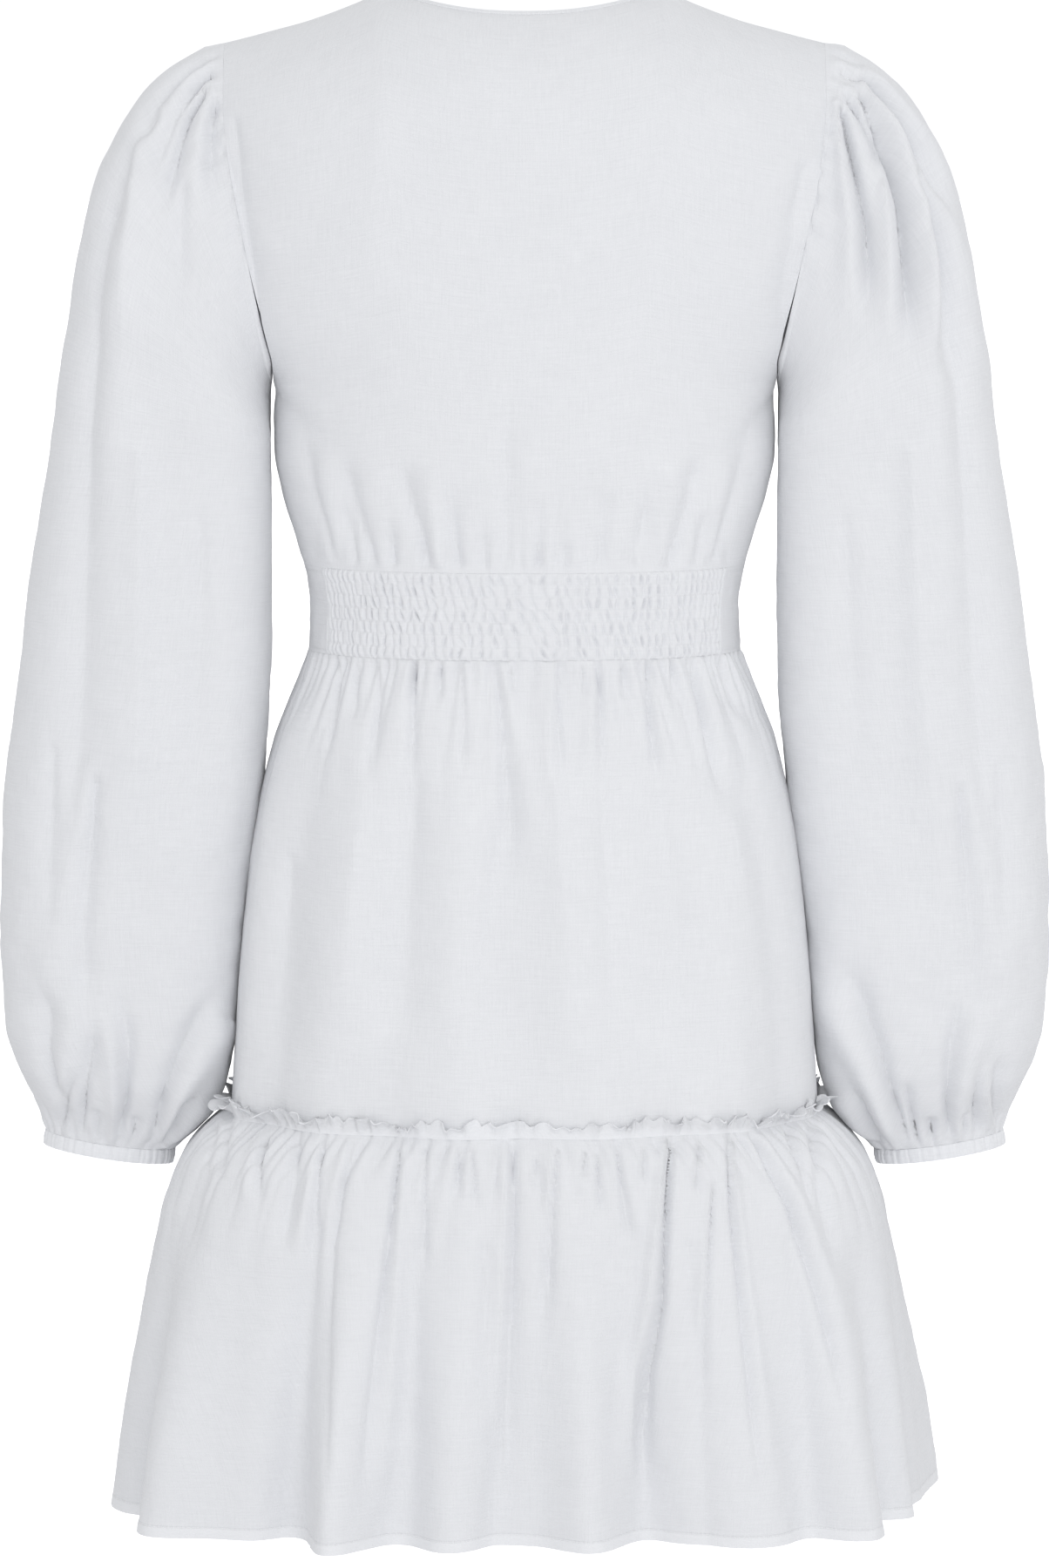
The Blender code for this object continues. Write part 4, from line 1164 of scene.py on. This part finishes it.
class DRESS_OT_flounce(bpy.types.Operator):
    """Hang the flounce from the skirt and turn up its hem"""

    bl_idname = "dress.flounce"
    bl_label = "Flounce"

    def execute(self, context):
        look = settings()
        hem = look.hem_height
        # The flounce's turned hem is painted lighter, painted light for less shade showing through doubled
        # cloth
        material = linen("flounce_linen", stitch_rows=(hem,), painted_hem_to=hem)
        for name, side in (("back_flounce", 1), ("front_flounce", -1)):
            columns, rows = (481, 117) if side > 0 else (321, 81)
            turn, fall = np.meshgrid(turns_of_half(side, columns), np.linspace(0, 1, rows) ** 1.05)
            points = flounce_point(turn, fall)
            to_skirt = skirt_point(turn, np.ones_like(turn)) - flounce_point(turn, 0 * turn)
            near_seam = 1 - eased(0.0, 0.08, fall)
            points[..., :2] += (to_skirt * near_seam[..., None])[..., :2]
            relief = back_creases(BACK_FLOUNCE, points, side)
            beside = along_seam(turn, side, FLOUNCE_QUARTER)
            below = FLOUNCE_SEAM - points[..., 2]
            relief += gathers(beside, below, FLOUNCE_GATHERS, 31 + side)
            add_crumple(relief, points, FLOUNCE_CRUMPLE, side)
            off_seam = eased(0, 0.03, fall)
            at_top = np.where(relief > 0, off_seam, 0.2 + 0.8 * off_seam)
            relief *= eased(0.0, 0.06, from_sides(turn)) * at_top
            above_hem = points[..., 2] - HEM
            relief += HEM_PROUD * (1 - eased(hem - 0.001, hem + 0.0006, above_hem))
            relief += crumple(points, 0.0004, 0.007, 36) * (1 - eased(hem, hem + 0.02, above_hem))
            piece = sew(name, points, relief, look.thickness)
            dress(piece, [name], material)
        return {"FINISHED"}


class DRESS_OT_heading(bpy.types.Operator):
    """Stand the frilled heading of the flounce on the skirt"""

    bl_idname = "dress.heading"
    bl_label = "Flounce heading"

    def execute(self, context):
        look = settings()
        # The heading is painted lighter, painted light for the light its frilled edge catches
        material = linen("heading_linen", look.painted_edge_light)
        for name, side in (("back_flounce_heading", 1), ("front_flounce_heading", -1)):
            turn, free = np.meshgrid(turns_of_half(side, 601), np.linspace(1, 0, 17))
            round_it = turn[0]
            # how far the edge rolls over, in radians, then how tall, wavy and frayed it is round the dress
            curl = np.clip(0.8 + 2.2 * ring_noise(round_it, 12, 3.3), 0.1, 3.3)
            waves = np.sin(np.radians(round_it) * 74 + 8 * ring_noise(round_it, 9, 2.2))
            tall = look.heading_height * (1 + 0.25 * ring_noise(round_it, 17, 5.1) + 0.12 * waves)
            uneven = 0.8 + 1.2 * ring_noise(round_it, 21, 8.4)
            ripple = 0.0046 * uneven * waves + 0.0035 * ring_noise(round_it, 16, 9.2)
            up = tall * np.sin(curl * free) / curl
            out = tall * (1 - np.cos(curl * free)) / curl + ripple * free
            points = skirt_point(turn, np.ones_like(turn))
            level = np.stack([*outward(turn, *BODY[-1][1:3]), 0 * turn], axis=-1)
            points = points + level * (0.0008 + np.maximum(out, 0.0004 * free))[..., None]
            frilled = 0.0014 * np.sin(np.radians(round_it) * 131 + 6 * ring_noise(round_it, 13, 6.6))
            points[..., 2] += up + (frilled + 0.0016 * ring_noise(round_it, 40, 4.4)) * free - 0.0010
            points += level * (0.0003 * ring_noise(round_it, 90, 1.4) * free)[..., None]
            piece = sew(name, points, 0 * turn, HEADING_WALL)
            dress(piece, [name], material)
        return {"FINISHED"}


class DRESS_OT_sleeves(bpy.types.Operator):
    """Set the full sleeves into the armholes"""

    bl_idname = "dress.sleeves"
    bl_label = "Sleeves"

    def execute(self, context):
        look = settings()
        material = linen("sleeve_linen")
        fine = np.linspace(0, 1, 2001)
        line = sleeve_point(np.zeros_like(fine), fine)
        run = np.concatenate([[0], np.cumsum(np.linalg.norm(np.diff(line, axis=0), axis=-1))])
        down = np.interp(np.linspace(0, run[-1], SLEEVE_ROWS), run, fine)
        rows = np.concatenate([np.linspace(-CAP_EASE, 0, 6)[:-1], down])
        even = np.linspace(0, 2 * math.pi, SLEEVE_TURNS, endpoint=False)
        turns = np.degrees(even + DENSER_BEHIND * (np.cos(even) - 1))
        for name, mirror in (("left_sleeve", 1), ("right_sleeve", -1)):
            turn, along = np.meshgrid(turns, rows)
            points = sleeve_point(turn, along)
            points[..., 0] *= mirror
            if mirror > 0:
                back, front = LEFT_CAP + LEFT_ARM, mirrored(RIGHT_CAP + RIGHT_ARM)
            else:
                back, front = RIGHT_CAP + RIGHT_ARM, mirrored(LEFT_CAP + LEFT_ARM)
            behind = eased(-0.2, 0.2, np.sin(np.radians(turn)))
            relief = creases(back, points, look.sleeve_crease_depth) * behind
            relief += creases(front, points, look.sleeve_crease_depth) * (1 - behind)
            from_top = (turn + 180) % 360 - 180
            distance = np.interp(along, np.append(-CAP_EASE, fine), np.append(0, run + CAP_LENGTH))
            relief += gathers(from_top / 180 * CAP_HALF, distance, CAP_GATHERS, 51)
            outline = 1 - eased(0.08, 0.55, from_sides(turn))
            relief *= 1 - OUTLINE_CALM * outline * (1 - eased(0.16, 0.26, distance))
            above_cuff = run[-1] + CAP_LENGTH - distance
            relief += gathers(turn / 360 * WRIST, above_cuff, WRIST_GATHERS, 52)
            washed = 0.8 + 0.9 * eased(0.30, 0.55, distance)
            add_crumple(relief, points, SLEEVE_CRUMPLE, mirror, washed)
            below_arm = eased(0.35, 0.95, -np.cos(np.radians(turn))) * (1 - eased(0.03, 0.10, distance))
            relief *= eased(0, 0.006, distance) * eased(0, 0.004, above_cuff) * (1 - below_arm)
            relief += seam_dip(points, distance)
            piece = sew(name, points, relief, look.thickness, round_it=True)
            dress(piece, [name], material)
        return {"FINISHED"}


class DRESS_OT_cuffs(bpy.types.Operator):
    """Close the sleeves with their narrow elastic cuffs"""

    bl_idname = "dress.cuffs"
    bl_label = "Cuffs"

    def execute(self, context):
        look = settings()
        lift = math.radians(SLEEVE_RINGS[-1][0])
        out = np.array([math.sin(lift), 0.0, math.cos(lift)])
        down = np.array([math.cos(lift), 0.0, -math.sin(lift)])
        half_wide, half_deep = SLEEVE_RINGS[-1][3] / 2, SLEEVE_RINGS[-1][4]
        # The cuffs are painted lighter, painted light for the light on their doubled edge
        material = linen("cuff_linen", look.painted_edge_light)
        turns = np.linspace(0, 360, 312, endpoint=False)
        for name, mirror in (("left_cuff", 1), ("right_cuff", -1)):
            turn, step = np.meshgrid(turns, np.linspace(SEAM_GAP * 2, look.cuff_height, 11))
            angle = np.radians(turn)
            away = out * np.cos(angle)[..., None] / half_wide
            away = away + np.array([0, 1, 0]) * np.sin(angle)[..., None] / half_deep
            away /= np.linalg.norm(away, axis=-1, keepdims=True)
            points = sleeve_point(turn, np.ones_like(turn)) + down * step[..., None]
            share = step / look.cuff_height
            relief = gathers(turn / 360, share * 0, CUFF_GATHERS, 61)
            relief += 0.0004 * np.sin(share * math.pi)
            points[..., 0] *= mirror
            away[..., 0] *= mirror
            relief += crumple(points, 0.0003, 0.004, 62)
            piece = sew(name, points, relief, CUFF_WALL, round_it=True, normals=away)
            dress(piece, [name], material)
        return {"FINISHED"}


def seen(tree):
    """1 for what is looked at directly and 0 for the light it gives, so that white paper doesn't glare."""
    return tree.nodes.new("ShaderNodeLightPath").outputs["Is Camera Ray"]


class DRESS_OT_studio(bpy.types.Operator):
    """Set the floor, the soft lights and the camera"""

    bl_idname = "dress.studio"
    bl_label = "Studio"

    def execute(self, context):
        look = settings()
        scene = context.scene
        bpy.ops.mesh.primitive_circle_add(
            vertices=128, radius=FLOOR_RADIUS, fill_type="NGON", location=(0, 0, look.floor_height)
        )
        floor = context.object
        floor.name = "floor"
        paper = bpy.data.materials.new("floor_paper")
        paper.use_nodes = True
        shader = paper.node_tree.nodes["Principled BSDF"]
        shader.inputs["Base Color"].default_value = (0.85, 0.85, 0.86, 1)
        shader.inputs["Roughness"].default_value = 1.0
        shader.inputs["Specular IOR Level"].default_value = 0.0
        shader.inputs["Emission Color"].default_value = (1, 1, 1, 1)
        glow = socket_math(paper.node_tree, "MULTIPLY", seen(paper.node_tree), look.floor_glow)
        paper.node_tree.links.new(glow, shader.inputs["Emission Strength"])
        floor.data.materials.append(paper)
        world = bpy.data.worlds.new("studio_world")
        world.use_nodes = True
        scene.world = world
        background = world.node_tree.nodes["Background"]
        background.inputs["Color"].default_value = (0.985, 0.99, 1.0, 1)
        brighter = SEEN_WHITE - look.world_light
        rise = socket_math(world.node_tree, "MULTIPLY", seen(world.node_tree), brighter)
        strength = socket_math(world.node_tree, "ADD", rise, look.world_light)
        world.node_tree.links.new(strength, background.inputs["Strength"])
        middle = Vector((0, 0, LIGHTS_AIM))
        for name, place, size, power in (
            ("key_light", (-0.5, 3.7, 0.1), 2.2, look.key_light),
            ("side_light", (-3.0, 0.9, 0.8), 1.6, look.side_light),
        ):
            lamp = bpy.data.lights.new(name, "AREA")
            lamp.size = size
            lamp.energy = power
            light = bpy.data.objects.new(name, lamp)
            scene.collection.objects.link(light)
            light.location = place
            light.rotation_euler = (middle - Vector(place)).to_track_quat("-Z", "Y").to_euler()
        eye = bpy.data.cameras.new("camera")
        eye.lens = LENS
        eye.sensor_fit = "VERTICAL"
        eye.sensor_height = 36
        eye.sensor_width = 36
        eye.clip_end = 100
        camera = bpy.data.objects.new("camera", eye)
        scene.collection.objects.link(camera)
        aim = Vector((0, 0, CAMERA_AIM))
        tilt = math.radians(CAMERA_TILT)
        camera.location = aim + Vector((0, math.cos(tilt), math.sin(tilt))) * CAMERA_AWAY
        camera.rotation_euler = (aim - camera.location).to_track_quat("-Z", "Y").to_euler()
        scene.camera = camera
        scene.view_settings.view_transform = "Standard"
        scene.view_settings.exposure = 0.0
        return {"FINISHED"}


class DressLinen(bpy.types.PropertyGroup):
    """The choices behind the cloth and the studio"""

    crease_depth: FloatProperty(
        name="Crease depth", description="How many times as deep as noted the creases are", default=2.5
    )
    sleeve_crease_depth: FloatProperty(
        name="Sleeve crease depth", description="The same for the creases of the sleeves", default=2.6
    )
    thickness: FloatProperty(
        name="Cloth thickness", description="Wall of the linen", default=0.0009, unit="LENGTH"
    )
    crumple: FloatProperty(
        name="Crumple", description="Depth of the washed linen's unevenness", default=0.0006, unit="LENGTH"
    )
    hem_height: FloatProperty(
        name="Hem height", description="Height of the turned hem", default=0.0065, unit="LENGTH"
    )
    heading_height: FloatProperty(
        name="Heading height", description="Height of the frill", default=0.0096, unit="LENGTH"
    )
    cuff_height: FloatProperty(
        name="Cuff height", description="Height of the elastic cuffs", default=0.0085, unit="LENGTH"
    )
    shirring_gathers: IntProperty(
        name="Shirring gathers", description="Gathers across the shirred back waist", default=50
    )
    shirring_bands: IntProperty(
        name="Shirring bands", description="Bands between the rows of elastic", default=7
    )
    shirring_depth: FloatProperty(
        name="Shirring depth", description="Depth of the deepest gathers", default=0.0027, unit="LENGTH"
    )
    thread_pitch: FloatProperty(
        name="Thread pitch", description="Distance between threads", default=0.0011, unit="LENGTH"
    )
    stitch_step: FloatProperty(
        name="Stitch step", description="Length of one stitch and its gap", default=0.0028, unit="LENGTH"
    )
    weave_depth: FloatProperty(
        name="Weave depth", description="Height of the threads", default=0.00022, unit="LENGTH"
    )
    linen_colour: FloatVectorProperty(
        name="Linen colour",
        description="Light side of the threads",
        default=(0.872, 0.880, 0.900),
        subtype="COLOR",
    )
    shade_colour: FloatVectorProperty(
        name="Shade colour",
        description="Dark side of the threads",
        default=(0.785, 0.793, 0.815),
        subtype="COLOR",
    )
    # Painted light: the binding, cuffs and heading are painted this many times as light, for the light
    # their edges catch and for less shade showing through doubled cloth
    painted_edge_light: FloatProperty(
        name="Edge lightness", description="Doubled cloth is whiter by this much", default=1.05
    )
    roughness: FloatProperty(
        name="Roughness", description="Matt finish of the linen", default=0.92, subtype="FACTOR"
    )
    sheen: FloatProperty(
        name="Sheen", description="Fuzz of the linen", default=0.35, subtype="FACTOR"
    )
    floor_height: FloatProperty(
        name="Floor height", description="Where the floor lies", default=-1.38, unit="LENGTH"
    )
    floor_glow: FloatProperty(
        name="Floor glow", description="Own light of the white floor", default=0.95
    )
    world_light: FloatProperty(
        name="World light", description="Strength of the pale surround", default=0.76
    )
    key_light: FloatProperty(
        name="Key light", description="Power of the lamp by the camera", default=31.0, unit="POWER"
    )
    side_light: FloatProperty(
        name="Side light", description="Power of the lamp on the right", default=3.0, unit="POWER"
    )


class DRESS_PT_sidebar(bpy.types.Panel):
    """The dress in the sidebar of the 3D view"""

    bl_label = "Linen dress"
    bl_space_type = "VIEW_3D"
    bl_region_type = "UI"
    bl_category = "Dress"

    def draw(self, context):
        for name in DressLinen.__annotations__:
            self.layout.prop(context.scene.dress_linen, name)
        for operator in OPERATORS:
            self.layout.operator(operator.bl_idname)


OPERATORS = (
    DRESS_OT_bodice,
    DRESS_OT_neck_binding,
    DRESS_OT_waist,
    DRESS_OT_skirt,
    DRESS_OT_flounce,
    DRESS_OT_heading,
    DRESS_OT_sleeves,
    DRESS_OT_cuffs,
    DRESS_OT_studio,
)


def register():
    bpy.utils.register_class(DressLinen)
    for operator in OPERATORS:
        bpy.utils.register_class(operator)
    bpy.utils.register_class(DRESS_PT_sidebar)
    bpy.types.Scene.dress_linen = PointerProperty(type=DressLinen)


def unregister():
    del bpy.types.Scene.dress_linen
    bpy.utils.unregister_class(DRESS_PT_sidebar)
    for operator in reversed(OPERATORS):
        bpy.utils.unregister_class(operator)
    bpy.utils.unregister_class(DressLinen)


def main():
    register()
    bpy.ops.dress.bodice()
    bpy.ops.dress.neck_binding()
    bpy.ops.dress.waist()
    bpy.ops.dress.skirt()
    bpy.ops.dress.flounce()
    bpy.ops.dress.heading()
    bpy.ops.dress.sleeves()
    bpy.ops.dress.cuffs()
    bpy.ops.dress.studio()


if __name__ == "__main__":
    main()
